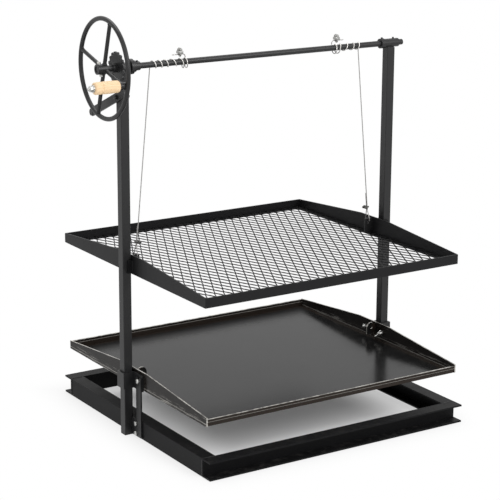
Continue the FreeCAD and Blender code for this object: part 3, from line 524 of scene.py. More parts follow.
def thread(diameter, length, pitch, count=24):
    depth = pitch * THREAD_DEPTH
    rows = max(2, int(length / pitch * ROWS_PER_TURN))
    rings = []
    for row in range(rows + 1):
        z = length * row / rows
        lead_in = min(1.0, (length - z) / pitch)

        def radius(angle, z=z, lead_in=lead_in):
            turn = (z / pitch - angle / (2 * math.pi)) % 1.0
            return diameter / 2 - depth * abs(2 * turn - 1) * THREAD_FLANK - (1 - lead_in) * depth
        rings.append(circle(radius, z, count))
    return capped(rings)


print("a nut has", len(hexagon(13, 6)[1]), "faces")


# %% Sweep
def sweep(route, section):
    """Skin along a route; section gives the points around it for each place along the route."""
    route = [Vector(p) for p in route]
    ways = [(b - a).normalized() for a, b in zip(route, route[1:])]
    ways = [ways[0]] + [(a + b).normalized() for a, b in zip(ways, ways[1:])] + [ways[-1]]
    side = ways[0].orthogonal().normalized()
    gone = 0.0
    rings = []
    for k, (point, way) in enumerate(zip(route, ways)):
        if k:
            gone += (point - route[k - 1]).length
            side = (side - way * side.dot(way)).normalized()
        other = way.cross(side)
        rings.append([point + side * a + other * b for a, b in section(gone)])
    return capped(rings)


def even(route, spacing):
    """The same route with points at even steps."""
    route = [Vector(p) for p in route]
    ends = [0.0]
    for a, b in zip(route, route[1:]):
        ends.append(ends[-1] + (b - a).length)
    count = max(2, int(ends[-1] / spacing))
    points, k = [], 0
    for step in range(count + 1):
        at = ends[-1] * step / count
        while k < len(route) - 2 and ends[k + 1] < at:
            k += 1
        share = (at - ends[k]) / max(ends[k + 1] - ends[k], 1e-9)
        points.append(route[k].lerp(route[k + 1], min(share, 1.0)))
    return points


print("10 mm in steps of 2 mm has", len(even([(0, 0, 0), (0, 0, 10)], 2)), "points")

# %% Placing a piece
CRISP = 40
SOFT = 60


def moved(made, matrix):
    points, faces = made
    return [matrix @ Vector(p) for p in points], faces


def along(start, way):
    """Matrix that stands a piece made along Z at a start, pointing a way."""
    turn = Vector((0, 0, 1)).rotation_difference(Vector(way)).to_matrix().to_4x4()
    return Matrix.Translation(Vector(start)) @ turn


def corners(node):
    low, high = (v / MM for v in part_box(node))
    return low, high


def taken(built):
    """Points and faces of an edited mesh, which is then freed."""
    built.verts.index_update()
    made = [v.co.copy() for v in built.verts], [tuple(v.index for v in f.verts) for f in built.faces]
    built.free()
    return made


def piece(name, parts, body, finish, replaced=(), smooth=CRISP):
    """One object from parts in millimetres; an edge that bends by more than smooth degrees stays sharp."""
    points, faces = [], []
    for part_points, part_faces in parts:
        start = len(points)
        points += [p * MM for p in part_points]
        faces += [tuple(i + start for i in face) for face in part_faces]
    mesh = bpy.data.meshes.new(name)
    mesh.from_pydata(points, [], faces)
    mesh.materials.append(finish)
    mesh.polygons.foreach_set("use_smooth", [True] * len(mesh.polygons))
    mesh.set_sharp_from_angle(angle=math.radians(smooth))
    made = bpy.data.objects.new(name, mesh)
    bpy.context.scene.collection.objects.link(made)
    if body:
        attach(made, body)
    if replaced:
        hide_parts(*replaced)
    return made


print("the shaft's box in mm:", [round(v, 1) for corner in corners("lift_shaft") for v in corner])

# %% [markdown]
# ## Wire rope
# Each rope is one length of stranded steel: it hangs from the shaft, goes through the lug on the grate,
# comes back up to a clip, and at the top winds over the shaft and ends in a tail with a clip of its own.
# A rope looks like rope because of its strands. Six twisted tubes would show them at six times the faces,
# so one tube was chosen whose section has six lobes that turn as the sweep moves on.

# %% Measures of the ropes
shaft_low, shaft_high = corners("lift_shaft")
SHIFT = BASE_MIDDLE / MM
ROPE = 3.0
POST_Y = (shaft_low.y + shaft_high.y) / 2
SHAFT_Z = (shaft_low.z + shaft_high.z) / 2
WIND_GAP = 0.3
WIND = (shaft_high.z - shaft_low.z) / 2 + WIND_GAP + ROPE / 2
LEAVES = {-1: -375.5 + SHIFT, 1: 375.5 + SHIFT}
LUG_X = {-1: -435.0 + SHIFT, 1: 422.0 + SHIFT}
LUG_SEAT_DROP = 12.0
LUG_SEAT_Z = corners("left_lug")[1].z - LUG_SEAT_DROP
LEAD = 14.0
STRAND = 1.8
WORD = {-1: "left", 1: "right"}


def rope_line(side):
    """Seat in the lug, way up the rope, way across the eye, and length to the winding's start."""
    seat = Vector((LUG_X[side], POST_Y, LUG_SEAT_Z))
    top = Vector((LEAVES[side], POST_Y + WIND, SHAFT_Z - LEAD))
    up = (top - seat).normalized()
    across = (Vector((0, 1, 0)) - up * up.y).normalized()
    return seat, up, across, (top - seat).length


for side, word in WORD.items():
    print(word, "rope rises", round(rope_line(side)[3], 1), "mm from its lug")

# %% Winding route
PITCHES = {-1: [20.5] * 3 + [31.0, 20.0, 8.0], 1: [20.5] * 2 + [31.0, 20.0, 8.0]}
LOOSE_TURNS = 2
LOOSE_DROP = 7.0
TAIL_RISE = 21.0
TAIL_BEND = 8.0
TAIL_LENGTH = 36.0
TURN_STEPS = 36
BEND_STEPS = 12
BLEND_STEPS = 8


def hermite(start, start_way, end, end_way):
    reach = (end - start).length
    points = []
    for k in range(BLEND_STEPS):
        t = k / BLEND_STEPS
        points.append(start * (2 * t ** 3 - 3 * t ** 2 + 1) + start_way * reach * (t ** 3 - 2 * t ** 2 + t)
                      + end * (3 * t ** 2 - 2 * t ** 3) + end_way * reach * (t ** 3 - t ** 2))
    return points


def shaft_turns(side):
    """Turns over the shaft from where the rope arrives; the last ones hang loose below it."""
    x = LEAVES[side]
    turns = []
    for place, pitch in enumerate(PITCHES[side]):
        sag = LOOSE_DROP if place >= len(PITCHES[side]) - LOOSE_TURNS else 0.0
        for step in range(TURN_STEPS):
            angle = 2 * math.pi * step / TURN_STEPS
            radius = WIND + sag * max(0.0, -math.sin(angle)) ** 2
            turns.append(Vector((x - side * pitch * step / TURN_STEPS, POST_Y + radius * math.cos(angle),
                                 SHAFT_Z + radius * math.sin(angle))))
        x -= side * pitch
    return turns + [Vector((x, POST_Y + WIND, SHAFT_Z))]


def winding_route(side):
    seat, up, across, length = rope_line(side)
    start = seat - across * STRAND + up * length
    turns = shaft_turns(side)
    points = [start] + hermite(start + up * ROPE, up, turns[0], (turns[1] - turns[0]).normalized()) + turns
    bend = Vector((turns[-1].x - side, POST_Y + WIND, SHAFT_Z + TAIL_RISE - TAIL_BEND))
    points += hermite(turns[-1], (turns[-1] - turns[-2]).normalized(), bend, Vector((0, 0, 1)))[1:]
    for step in range(BEND_STEPS + 1):
        angle = math.pi / 2 * step / BEND_STEPS
        points.append(bend + TAIL_BEND * Vector((side * (1 - math.cos(angle)), 0, math.sin(angle))))
    points.append(points[-1] + Vector((side * TAIL_LENGTH, 0, 0)))
    return points


print("turns on the shaft:", {word: len(PITCHES[side]) for side, word in WORD.items()})

# %% Eye route
EYE_TOP = 58.0
EYE_NECK = 42.0
EYE_CHEEK = 14.0
EYE_HALF = 10.0
EYE_TAIL = 96.0
EYE_RADII = [14, 14, 9, 9, 14, 14]


def rounded_route(bends, radii, count=10):
    points = [bends[0]]
    for before, bend, after, radius in zip(bends, bends[1:], bends[2:], radii):
        back = (before - bend).normalized()
        ahead = (after - bend).normalized()
        half = (math.pi - back.angle(ahead)) / 2
        centre = bend + (back + ahead).normalized() * radius / math.cos(half)
        first = bend + back * radius * math.tan(half) - centre
        turn = first.cross(bend + ahead * radius * math.tan(half) - centre)
        points += [centre + Matrix.Rotation(2 * half * k / count, 3, turn) @ first for k in range(count + 1)]
    return points + [bends[-1]]


def eye_route(side):
    seat, up, across, _ = rope_line(side)
    bends = [(EYE_TOP, -STRAND), (EYE_NECK, -STRAND), (EYE_CHEEK, -EYE_HALF), (0, -EYE_HALF), (0, EYE_HALF),
             (EYE_CHEEK, EYE_HALF), (EYE_NECK, STRAND), (EYE_TAIL, STRAND)]
    return rounded_route([seat + up * a + across * b for a, b in bends], EYE_RADII)


print("an eye has", len(eye_route(1)), "points on its route")

# %% Ropes
ROPE_STEP = 1.6
STRANDS = 6
LOBE = 0.10
LAY_TURN = 0.26
RING_POINTS = 24


def rope_section(at):
    """Six strands around the middle, turned by how far along the rope the section is."""
    points = []
    for k in range(RING_POINTS):
        angle = 2 * math.pi * k / RING_POINTS
        radius = ROPE / 2 * (1 - LOBE + LOBE * math.cos(STRANDS * angle))
        turned = angle + at * LAY_TURN
        points.append((radius * math.cos(turned), radius * math.sin(turned)))
    return points


for side, word in WORD.items():
    wound = sweep(even(winding_route(side), ROPE_STEP), rope_section)
    winding = piece(word + "_rope_winding", [wound], "shaft", painted_highlight_rope, [word + "_winding"],
                    SOFT)
    looped = sweep(even(eye_route(side), ROPE_STEP), rope_section)
    eye = piece(word + "_rope_eye", [looped], "grate", rope, [word + "_wire_eye"], SOFT)
    print(word, "rope points:", len(winding.data.vertices), "winding,", len(eye.data.vertices), "eye")

# %% [markdown]
# ## Hanging ropes
# The straight stretch gets longer and shorter as the crank turns. It is made with points only at its two
# ends, so nothing between them can bend. It is tied to no body, so its ends do not follow the grate or the
# frame, and it has no bone or constraint either.

# %% Straight ropes
for side, word in WORD.items():
    seat, up, across, length = rope_line(side)
    ends = [seat - across * STRAND + up * EYE_TOP, seat - across * STRAND + up * length]
    made = piece(word + "_rope_straight", [sweep(ends, rope_section)], None, rope,
                 [word + "_wire"], SOFT)
    ends[0] * MM
    ends[1] * MM
    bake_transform(made)
    print(made.name, "is", round((ends[1] - ends[0]).length, 1), "mm long")

# %% [markdown]
# ## Wire rope clips
# A clip is a forged saddle, a U-shaped bolt and two nuts. The U goes round the rope and its threaded legs
# pass through the saddle. The saddle's edges are rounded, as a forging's are. The clips on the tails are
# larger than those on the eyes, so one function makes both and a clip's own measures grow with its size.

# %% Clip parts
CLIP_GAP = 0.3
CLIP_BOLT = 4.0
CLIP_BOW = 1.95
CLIP_THREAD = 6.0
CLIP_PITCH = 0.7
CLIP_NUT_FLATS = 7.0
CLIP_NUT_HEIGHT = 4.0
SADDLE_SIDES = 7.0
SADDLE_HEIGHT = 6.0
SADDLE_LENGTH = 10.0
SADDLE_EDGE = 1.2


def rounded_box(size, radius):
    built = bmesh.new()
    bmesh.ops.create_cube(built, size=1.0, matrix=Matrix.Diagonal((*size, 1.0)))
    bmesh.ops.bevel(built, geom=built.edges[:], offset=radius, segments=3, affect="EDGES", profile=0.5)
    return taken(built)


def round_bar(radius, count=20):
    angles = [2 * math.pi * k / count for k in range(count)]
    ring = [(radius * math.cos(angle), radius * math.sin(angle)) for angle in angles]
    return lambda at: ring


def clip_parts(half_span, size):
    leg = half_span + CLIP_GAP + CLIP_BOLT / 2 * size
    low = ROPE / 2 + CLIP_GAP
    seat = low + SADDLE_HEIGHT * size
    route = [Vector((-leg, seat + size, 0)), Vector((-leg, 0, 0))]
    half_turn = [math.pi * k / 20 for k in range(1, 20)]
    route += [Vector((-leg * math.cos(angle), -leg * math.sin(angle), 0)) for angle in half_turn]
    route += [Vector((leg, 0, 0)), Vector((leg, seat + size, 0))]
    block = (2 * leg + SADDLE_SIDES * size, SADDLE_HEIGHT * size, SADDLE_LENGTH * size)
    lift = Matrix.Translation((0, low + SADDLE_HEIGHT / 2 * size, 0))
    parts = [moved(rounded_box(block, SADDLE_EDGE * size), lift), sweep(route, round_bar(CLIP_BOW * size))]
    for x in (-leg, leg):
        upright = along((x, seat, 0), (0, 1, 0))
        parts.append(moved(hexagon(CLIP_NUT_FLATS * size, CLIP_NUT_HEIGHT * size), upright))
        parts.append(moved(thread(CLIP_BOLT * size, CLIP_THREAD * size, CLIP_PITCH * size), upright))
    return parts


print("a clip has", len(clip_parts(ROPE / 2, 1.0)), "parts")

# %% Clips
TAIL_CLIP_INSET = 10.0
TAIL_CLIP_SIZE = 1.45
EYE_CLIP_RISE = 50.0


def clip(name, node, body, place, way, nuts, half_span, size, finish):
    square = (nuts - way * nuts.dot(way)).normalized()
    turn = Matrix((square.cross(way), square, way)).transposed().to_4x4()
    matrix = Matrix.Translation(place) @ turn
    parts = [moved(part, matrix) for part in clip_parts(half_span, size)]
    return piece(name, parts, body, finish, [node])


for side, word in WORD.items():
    place = winding_route(side)[-2] + Vector((side * TAIL_CLIP_INSET, 0, 0))
    clip(word + "_tail_rope_clip", word + "_tail_clip", "shaft", place, Vector((1, 0, 0)), Vector((0, 0, 1)),
         ROPE / 2, TAIL_CLIP_SIZE, tail_zinc)
    seat, up, _, _ = rope_line(side)
    clip(word + "_eye_rope_clip", word + "_eye_clip", "grate", seat + up * EYE_CLIP_RISE, up,
         Vector((-side, 0, 0)), STRAND + ROPE / 2, 1.0, eye_zinc)
print("made 4 rope clips")

# %% [markdown]
# ## Bolts, nuts and screws
# The solids are plain hexagons on rods. The pieces here have turned corners and one helical thread on each
# end that shows, in the places that the solids' boxes give, with washers on the pivot and the handle bolt. A
# bump could draw a thread, but its outline would stay smooth, so the thread is real.

# %% Bolts
BOLT = 8
BOLT_FLATS = 13
BOLT_HEAD = 5.5
BOLT_PITCH = BOLT * 0.16
SHANK = BOLT / 2 - 0.05
SINK = 0.5


def headed_bolt(length, plain):
    """Bolt along Z from its head's outer face, with a plain length under the head."""
    shank = lathe([(SHANK, BOLT_HEAD - SINK), (SHANK, BOLT_HEAD + plain)], 28)
    threaded = moved(thread(BOLT, length - BOLT_HEAD - plain, BOLT_PITCH),
                     Matrix.Translation((0, 0, BOLT_HEAD + plain)))
    return [hexagon(BOLT_FLATS, BOLT_HEAD), shank, threaded]


def bolt_along_x(node, side, y, z, plain, nut=None):
    """Parts of one bolt: side is where its head is, nut the nut's height and distance from the tip."""
    low, high = corners(node)
    length = high.x - low.x
    start = (high.x if side > 0 else low.x, y, z)
    matrix = along(start, (-side, 0, 0))
    parts = headed_bolt(length, plain)
    if nut:
        height, back = nut
        parts.append(moved(hexagon(BOLT_FLATS, height), Matrix.Translation((0, 0, length - back - height))))
    return [moved(part, matrix) for part in parts]


print("a bolt of 40 mm has", len(headed_bolt(40, 10)), "parts")

# %% Strap and stay bolts
FRONT_BOLT_Y = -45.5
REAR_BOLT_Y = 44.0
STRAP_BOLT_Z = 182.0
STAY_BOLT_Y = -31.0
STAY_BOLT_Z = (13.0, 43.0)
FRONT_PLAIN = 14
REAR_PLAIN = 8
STAY_PLAIN = 9
STRAP_NUT = (6.5, 4.0)
THIN_NUT = (5.5, 2.75)
for side, word in WORD.items():
    front = word + "_front_bolt"
    parts = bolt_along_x(front, side, FRONT_BOLT_Y, STRAP_BOLT_Z, FRONT_PLAIN)
    piece(word + "_strap_bolt_front", parts, "tray", zinc, [front])
    rear = word + "_rear_bolt"
    parts = bolt_along_x(rear, side, REAR_BOLT_Y, STRAP_BOLT_Z, REAR_PLAIN, STRAP_NUT)
    piece(word + "_strap_bolt_rear", parts, "tray", zinc, [rear])
    stay = word + "_stay_bolts"
    parts = []
    for z in STAY_BOLT_Z:
        parts += bolt_along_x(stay, side, STAY_BOLT_Y, z, STAY_PLAIN, THIN_NUT)
    piece(word + "_stay_bolt_pair", parts, "frame", zinc, [stay])
print("made the strap and stay bolts")

# %% Wing nuts
WING_ANGLE = math.radians(-45)
WING_THICK = 3.2
WING_EDGE = 0.9
WING_HUB = [(7.6, 0), (8.0, 0.5), (7.6, 5.0), (6.4, 11.0), (5.8, 12.0)]
WING_OUTLINE = [(4.0, 3.0), (9.0, 3.2), (13.5, 6.0), (18.0, 11.5), (19.7, 16.0), (18.6, 19.4), (15.8, 19.6),
                (12.6, 17.0), (9.4, 13.2), (5.0, 11.5)]


def wing(way):
    built = bmesh.new()
    rim = [built.verts.new((way * a, -WING_THICK / 2, b)) for a, b in WING_OUTLINE]
    face = built.faces.new(rim if way > 0 else rim[::-1])
    grown = bmesh.ops.extrude_face_region(built, geom=[face])
    raised = [v for v in grown["geom"] if isinstance(v, bmesh.types.BMVert)]
    bmesh.ops.translate(built, vec=(0, WING_THICK, 0), verts=raised)
    bmesh.ops.recalc_face_normals(built, faces=built.faces[:])
    rims = [e for e in built.edges if abs(e.verts[0].co.y - e.verts[1].co.y) < 1e-6]
    bmesh.ops.bevel(built, geom=rims, offset=WING_EDGE, segments=3, affect="EDGES", profile=0.5)
    return taken(built)


for side, word in WORD.items():
    node = word + "_wing_nut"
    low, high = corners(node)
    seat_x = high.x if side > 0 else low.x
    turn = Matrix.Rotation(WING_ANGLE, 4, "X") @ Matrix.Rotation(math.radians(-90 * side), 4, "Y")
    flat = Matrix.Rotation(math.radians(90), 4, "Z")
    matrix = Matrix.Translation((seat_x, FRONT_BOLT_Y, STRAP_BOLT_Z)) @ turn @ flat
    parts = [moved(part, matrix) for part in (lathe(WING_HUB), wing(-1), wing(1))]
    piece(word + "_wing_nut_forged", parts, word + "_nut", zinc, [node])
print("made 2 wing nuts")

# %% Pivot bolt
PAWL_Z = 1036.5
PIVOT_PLAIN = 40
PIVOT_WASHER = (7.5, 12.1, 0.7)


def disc(radius, start, thickness):
    edge = min(0.3, thickness / 4)
    return lathe([(radius - edge, start), (radius, start + edge), (radius, start + thickness - edge),
                  (radius - edge, start + thickness)])


low, high = corners("pawl_bolt")
parts = bolt_along_x("pawl_bolt", -1, POST_Y, PAWL_Z, PIVOT_PLAIN, THIN_NUT)
parts.append(moved(disc(*PIVOT_WASHER), along((low.x, POST_Y, PAWL_Z), (1, 0, 0))))
piece("pawl_pivot", parts, "frame", coat, ["pawl_bolt"])
print("pivot bolt is", round(high.x - low.x, 1), "mm long")

# %% Handle bolt
HANDLE_BOLT = 10
HANDLE_PITCH = 1.5
HANDLE_TIP = 5.0
HANDLE_NUT = 10.0
HANDLE_FLATS = 16.0
HANDLE_WASHER = 2.5
HANDLE_WASHER_RADIUS = 11.0
HANDLE_SHANK = 4.98
low, high = corners("handle_bolt")
axis = ((low.y + high.y) / 2, (low.z + high.z) / 2)
reach = HANDLE_TIP + SINK
outwards = Matrix.Translation((0, 0, reach)) @ Matrix.Rotation(math.pi, 4, "X")
end_thread = moved(thread(HANDLE_BOLT, reach, HANDLE_PITCH), outwards)
end_nut = moved(hexagon(HANDLE_FLATS, HANDLE_NUT), Matrix.Translation((0, 0, HANDLE_TIP)))
washer = disc(HANDLE_WASHER_RADIUS, HANDLE_TIP + HANDLE_NUT, HANDLE_WASHER)
shank_start = HANDLE_TIP + HANDLE_NUT + HANDLE_WASHER - SINK
shank = lathe([(HANDLE_SHANK, shank_start), (HANDLE_SHANK, high.x - low.x)], 28)
matrix = along((low.x, *axis), (1, 0, 0))
parts = [moved(part, matrix) for part in (end_thread, end_nut, washer, shank)]
piece("handle_bolt_assembly", parts, "shaft", zinc, ["handle_bolt"])
print("handle bolt is", round(high.x - low.x, 1), "mm long")

# %% Set screws
SCREW_PITCH = 1.0
HUB_SCREW = (9.0, 5.0)
COLLAR_SCREW = (6.0, 3.0)


def screw_parts(node, diameter, head):
    low, high = corners(node)
    middle = (low + high) / 2
    up = middle.z > SHAFT_Z
    start = (middle.x, middle.y, low.z if up else high.z)
    length = high.z - low.z
    top = moved(hexagon(diameter, head), Matrix.Translation((0, 0, length - head)))
    matrix = along(start, (0, 0, 1 if up else -1))
    return [moved(part, matrix) for part in (thread(diameter, length - head + SINK, SCREW_PITCH), top)]


for node in ("hub_screw_upper", "hub_screw_lower"):
    piece(node + "_set", screw_parts(node, *HUB_SCREW), "shaft", zinc, [node])
for node in ("left_collar_screw", "right_collar_screw"):
    piece(node + "_set", screw_parts(node, *COLLAR_SCREW), "shaft", coat, [node])
print("made 4 set screws")

# %% [markdown]
# ## Wooden grip
# The grip was turned on a lathe: rounded ends, a barely swollen middle and a scored ring. A lathe profile
# makes it in the same way, and the wood's rings run through it as through a solid block, because the finish
# reads the place of each point.

# %% Grip
GRIP_FRONT = (11.8, 5.8, 6.0)
GRIP_REAR = (11.9, 5.4, 6.5)
GRIP_SMOOTH = 50
GRIP_MIDDLE = [(17.8, 13), (17.9, 20.2), (17.7, 21.2), (16.2, 22.4), (15.7, 23.8), (16.1, 25.4),
               (17.6, 26.6), (17.9, 28), (18.0, 40), (17.9, 55), (17.6, 65), (17.3, 73)]
low, high = corners("handle_grip")
length = high.x - low.x
quarter = [math.pi / 2 * k / 8 for k in range(9)]
radius, swell, depth = GRIP_FRONT
profile = [(radius + swell * math.sin(angle), depth - depth * math.cos(angle)) for angle in quarter]
profile += GRIP_MIDDLE
radius, swell, depth = GRIP_REAR
for angle in quarter[1:]:
    profile.append((radius + swell * math.cos(angle), length - depth + depth * math.sin(angle)))
grip = moved(lathe(profile, 56), along((low.x, *axis), (1, 0, 0)))
piece("turned_grip", [grip], "handle", wood, ["handle_grip"], GRIP_SMOOTH)
print("turned the grip,", round(length), "mm long")

# %% [markdown]
# ## Expanded mesh
# The cooking surface is expanded steel: a sheet that was slit and pulled, so that its strands twist
# between the knuckles where they meet. A see-through picture on a slab would look flat from the side, so
# the strands are real. Each knuckle is a small lozenge whose four sides start four strands, and each strand
# has a tilted section half way. The whole is one closed skin, cut off at the bars that it is welded to.

# %% Knuckles and strands
MESH_X = 29.7
MESH_Y = 59.4
STRAND_WIDTH = 3.1
SHEET = 1.8
TILT = math.radians(28)


def expanded_mesh(low, high):
    middle = (low + high) / 2
    slant = math.hypot(MESH_X, MESH_Y)
    corner_x = STRAND_WIDTH * MESH_Y / slant
    corner_y = STRAND_WIDTH * MESH_X / slant
    lozenge = [(corner_x, 0), (0, corner_y), (-corner_x, 0), (0, -corner_y)]
    columns = int((high.x - low.x) / MESH_X) + 2
    rows = int((high.y - low.y) / MESH_Y) + 2
    points, faces, knuckle = [], [], {}
    for i in range(-columns, columns + 1):
        for j in range(-rows, rows + 1):
            if (i + j) % 2 == 0:
                continue
            x, y = middle.x + i * MESH_X / 2, middle.y + j * MESH_Y / 2
            top = len(points)
            knuckle[i, j] = top
            for z in (SHEET / 2, -SHEET / 2):
                points += [Vector((x + a, y + b, middle.z + z)) for a, b in lozenge]
            faces.append((top, top + 1, top + 2, top + 3))
            faces.append((top + 7, top + 6, top + 5, top + 4))
    for (i, j), a in knuckle.items():
        for dj, near, far in ((1, (0, 1), (3, 2)), (-1, (3, 0), (2, 1))):
            b = knuckle.get((i + 1, j + dj))
            if b is None:
                continue
            first = [a + near[0], a + near[1], a + 4 + near[1], a + 4 + near[0]]
            last = [b + far[0], b + far[1], b + 4 + far[1], b + 4 + far[0]]
            way = (points[last[0]] - points[first[0]]).normalized()
            turn = Matrix.Rotation(-TILT * dj, 3, way)
            centre = sum((points[k] for k in first + last), Vector()) / 8
            mid = []
            for p, q in zip(first, last):
                mid.append(len(points))
                points.append(centre + turn @ ((points[p] + points[q]) / 2 - centre))
            for lower, upper in ((first, mid), (mid, last)):
                for k in range(4):
                    n = (k + 1) % 4
                    faces.append((lower[k], upper[k], upper[n], lower[n]))
    return points, faces


mesh_box = corners("grate_mesh")
uncut_mesh = expanded_mesh(*mesh_box)
print("uncut mesh has", len(uncut_mesh[1]), "faces")


# %% Mesh cut to its bars
def cut_to_box(made, low, high):
    """The part of a closed skin inside a box in X and Y, closed again where it was cut."""
    built = bmesh.new()
    placed = [built.verts.new(p) for p in made[0]]
    for face in made[1]:
        built.faces.new([placed[k] for k in face])
    for place, way in (((low.x, 0, 0), (-1, 0, 0)), ((high.x, 0, 0), (1, 0, 0)),
                       ((0, low.y, 0), (0, -1, 0)), ((0, high.y, 0), (0, 1, 0))):
        everything = built.verts[:] + built.edges[:] + built.faces[:]
        bmesh.ops.bisect_plane(built, geom=everything, plane_co=place, plane_no=way, clear_outer=True)
    bmesh.ops.delete(built, geom=[e for e in built.edges if not e.link_faces], context="EDGES")
    bmesh.ops.holes_fill(built, edges=[e for e in built.edges if e.is_boundary], sides=0)
    bmesh.ops.delete(built, geom=[v for v in built.verts if not v.link_faces], context="VERTS")
    bmesh.ops.recalc_face_normals(built, faces=built.faces[:])
    return taken(built)


cut_mesh = cut_to_box(uncut_mesh, *mesh_box)
piece("expanded_mesh", [cut_mesh], "grate", mesh_coat, ["grate_mesh"])
print("mesh has", len(cut_mesh[1]), "faces")

# %% [markdown]
# ## Weld beads
# Frame, grate, tray and wheel are welded. A bead is a low rippled ridge in the corner of two plates. It
# could be a bump, but a bump leaves the corner sharp, so each bead is a sweep along the seam whose radius
# swells with every ripple. Beads under the coat are black, and those on the tray are bare steel that the
# heat has browned.

# %% Bead makers
POST_BEAD = 2.4
PLATE_BEAD = 2.2
TAB_BEAD = 2.0
THIN_BEAD = 1.8
SPOKE_BEAD = 1.6
BEAD_STEP = 0.38
BEAD_SIDES = 10
RING_STEPS = 40
RING_SIDES = 8


def bead(start, end, radius, seed):
    start, end = Vector(start), Vector(end)
    length = (end - start).length

    def section(at):
        ripple = 0.86 + 0.14 * abs(math.sin(math.pi * at / (radius * 1.15)))
        wobble = 1.0 + 0.10 * noise.noise(Vector((at * 0.11, seed * 7.3, 0.0)))
        fade = min(1.0, 0.35 + 0.65 * min(at, length - at) / (radius * 1.2))
        size = radius * ripple * wobble * fade
        angles = [2 * math.pi * k / BEAD_SIDES for k in range(BEAD_SIDES)]
        return [(size * math.cos(angle), size * math.sin(angle)) for angle in angles]
    return sweep(even([start, end], radius * BEAD_STEP), section)


def ring_bead(centre, way, radius, size, seed):
    """Bead around a round bar."""
    way = Vector(way).normalized()
    side = way.orthogonal().normalized()
    other = way.cross(side)
    around = [2 * math.pi * c / RING_SIDES for c in range(RING_SIDES)]
    points = []
    for k in range(RING_STEPS):
        angle = 2 * math.pi * k / RING_STEPS
        out = side * math.cos(angle) + other * math.sin(angle)
        swell = size * (0.85 + 0.15 * abs(math.sin(angle * 7 + seed)))
        points += [Vector(centre) + out * (radius + swell * 0.9 * math.cos(turn))
                   + way * swell * math.sin(turn) for turn in around]
    return points, grid_faces(RING_STEPS, RING_SIDES, True)


print("100 mm of bead has", len(bead((0, 0, 0), (0, 0, 100), PLATE_BEAD, 1)[1]), "faces")

# %% Beads on the standing frame
END_GAP = 3
SIDE_GAP = 2
POST_GAP = 6
TOP_SINK = 0.6
BEARING_HALF = 9
frame_beads = []
web_front = corners("front_channel")[1].y
web_rear = corners("rear_channel")[0].y
for side, word in WORD.items():
    low, high = corners(word + "_channel")
    outer = low.x if side < 0 else high.x
    inner = high.x if side < 0 else low.x
    for y, seed in ((web_front, 1), (web_rear, 2)):
        upright = [(outer, y, END_GAP), (outer, y, high.z - END_GAP)]
        frame_beads.append(bead(*upright, PLATE_BEAD, seed + side))
        top_z = high.z - TOP_SINK
        level = [(outer - side * SIDE_GAP, y, top_z), (inner + side * SIDE_GAP, y, top_z)]
        frame_beads.append(bead(*level, THIN_BEAD, seed * 3 + side))
low, high = corners("left_channel")
post_back = corners("left_post")[1].y
upright = [(low.x, post_back, POST_GAP), (low.x, post_back, high.z - POST_GAP)]
frame_beads.append(bead(*upright, POST_BEAD, 3))
low, high = corners("right_post_spacer")
for x in (low.x, high.x):
    for y in (low.y, high.y):
        frame_beads.append(bead((x, y, low.z + END_GAP), (x, y, high.z - END_GAP), POST_BEAD, x + y))
for word in WORD.values():
    low, high = corners(word + "_post")
    for y, seed in ((POST_Y - BEARING_HALF, 5), (POST_Y + BEARING_HALF, 6)):
        level = [(low.x + SIDE_GAP, y, high.z), (high.x - SIDE_GAP, y, high.z)]
        frame_beads.append(bead(*level, POST_BEAD, seed))
piece("frame_beads", frame_beads, "frame", coat, (), SOFT)
print("frame beads:", len(frame_beads))

# %% Beads on the grate
GRATE_PLATE = 4.0
LEG_RISE = 8
LUG_GAP = 7
grate_beads = []
for bar, seed in (("grate_front_bar", 3), ("grate_rear_bar", 4)):
    low, high = corners(bar)
    y = low.y + GRATE_PLATE if bar == "grate_front_bar" else high.y - GRATE_PLATE
    for x in (low.x, high.x):
        grate_beads.append(bead((x, y, low.z + LEG_RISE), (x, y, high.z - SIDE_GAP), PLATE_BEAD, seed + x))
for side, word in WORD.items():
    low, high = corners("grate_" + word + "_side")
    x = low.x if side < 0 else high.x
    for end in ("front", "rear"):
        low, high = corners(word + "_" + end + "_guide")
        y = low.y if end == "front" else high.y
        grate_beads.append(bead((x, y, low.z + END_GAP), (x, y, high.z - END_GAP), TAB_BEAD, y))
    low, high = corners(word + "_lug")
    x = low.x if side < 0 else high.x
    for y in (low.y, high.y):
        grate_beads.append(bead((x, y, low.z + END_GAP), (x, y, high.z - LUG_GAP), PLATE_BEAD, y + x))
piece("grate_beads", grate_beads, "grate", flat_coat, (), SOFT)
print("grate beads:", len(grate_beads))

# %% Beads on the tray
PAN_SHEET = 3
WALL_INSET = 6
HEM_GAP = 1
LUG_ROUND = 18
tray_beads = []
floor_z = pan_low.z / MM + PAN_SHEET
end_y = pan_high.y / MM - WALL_INSET
for side, word in WORD.items():
    low, high = corners("tray_" + word + "_side")
    x = high.x if side < 0 else low.x
    tray_beads.append(bead((x, SIDE_GAP - end_y, floor_z), (x, end_y - SIDE_GAP, floor_z), TAB_BEAD, side))
    for y in (-end_y, end_y):
        top_z = (pan_high.z - (FRONT_WALL_DROP if y < 0 else 0)) / MM - HEM_GAP
        tray_beads.append(bead((x, y, floor_z + SIDE_GAP), (x, y, top_z), THIN_BEAD, y * side))
    low, high = corners(word + "_tray_lug")
    for y in (low.y, high.y):
        tray_beads.append(bead((x, y, low.z + HEM_GAP), (x, y, high.z - LUG_ROUND), PLATE_BEAD, y * side))
piece("tray_beads", tray_beads, "tray", pan_steel, (), SOFT)
print("tray beads:", len(tray_beads))

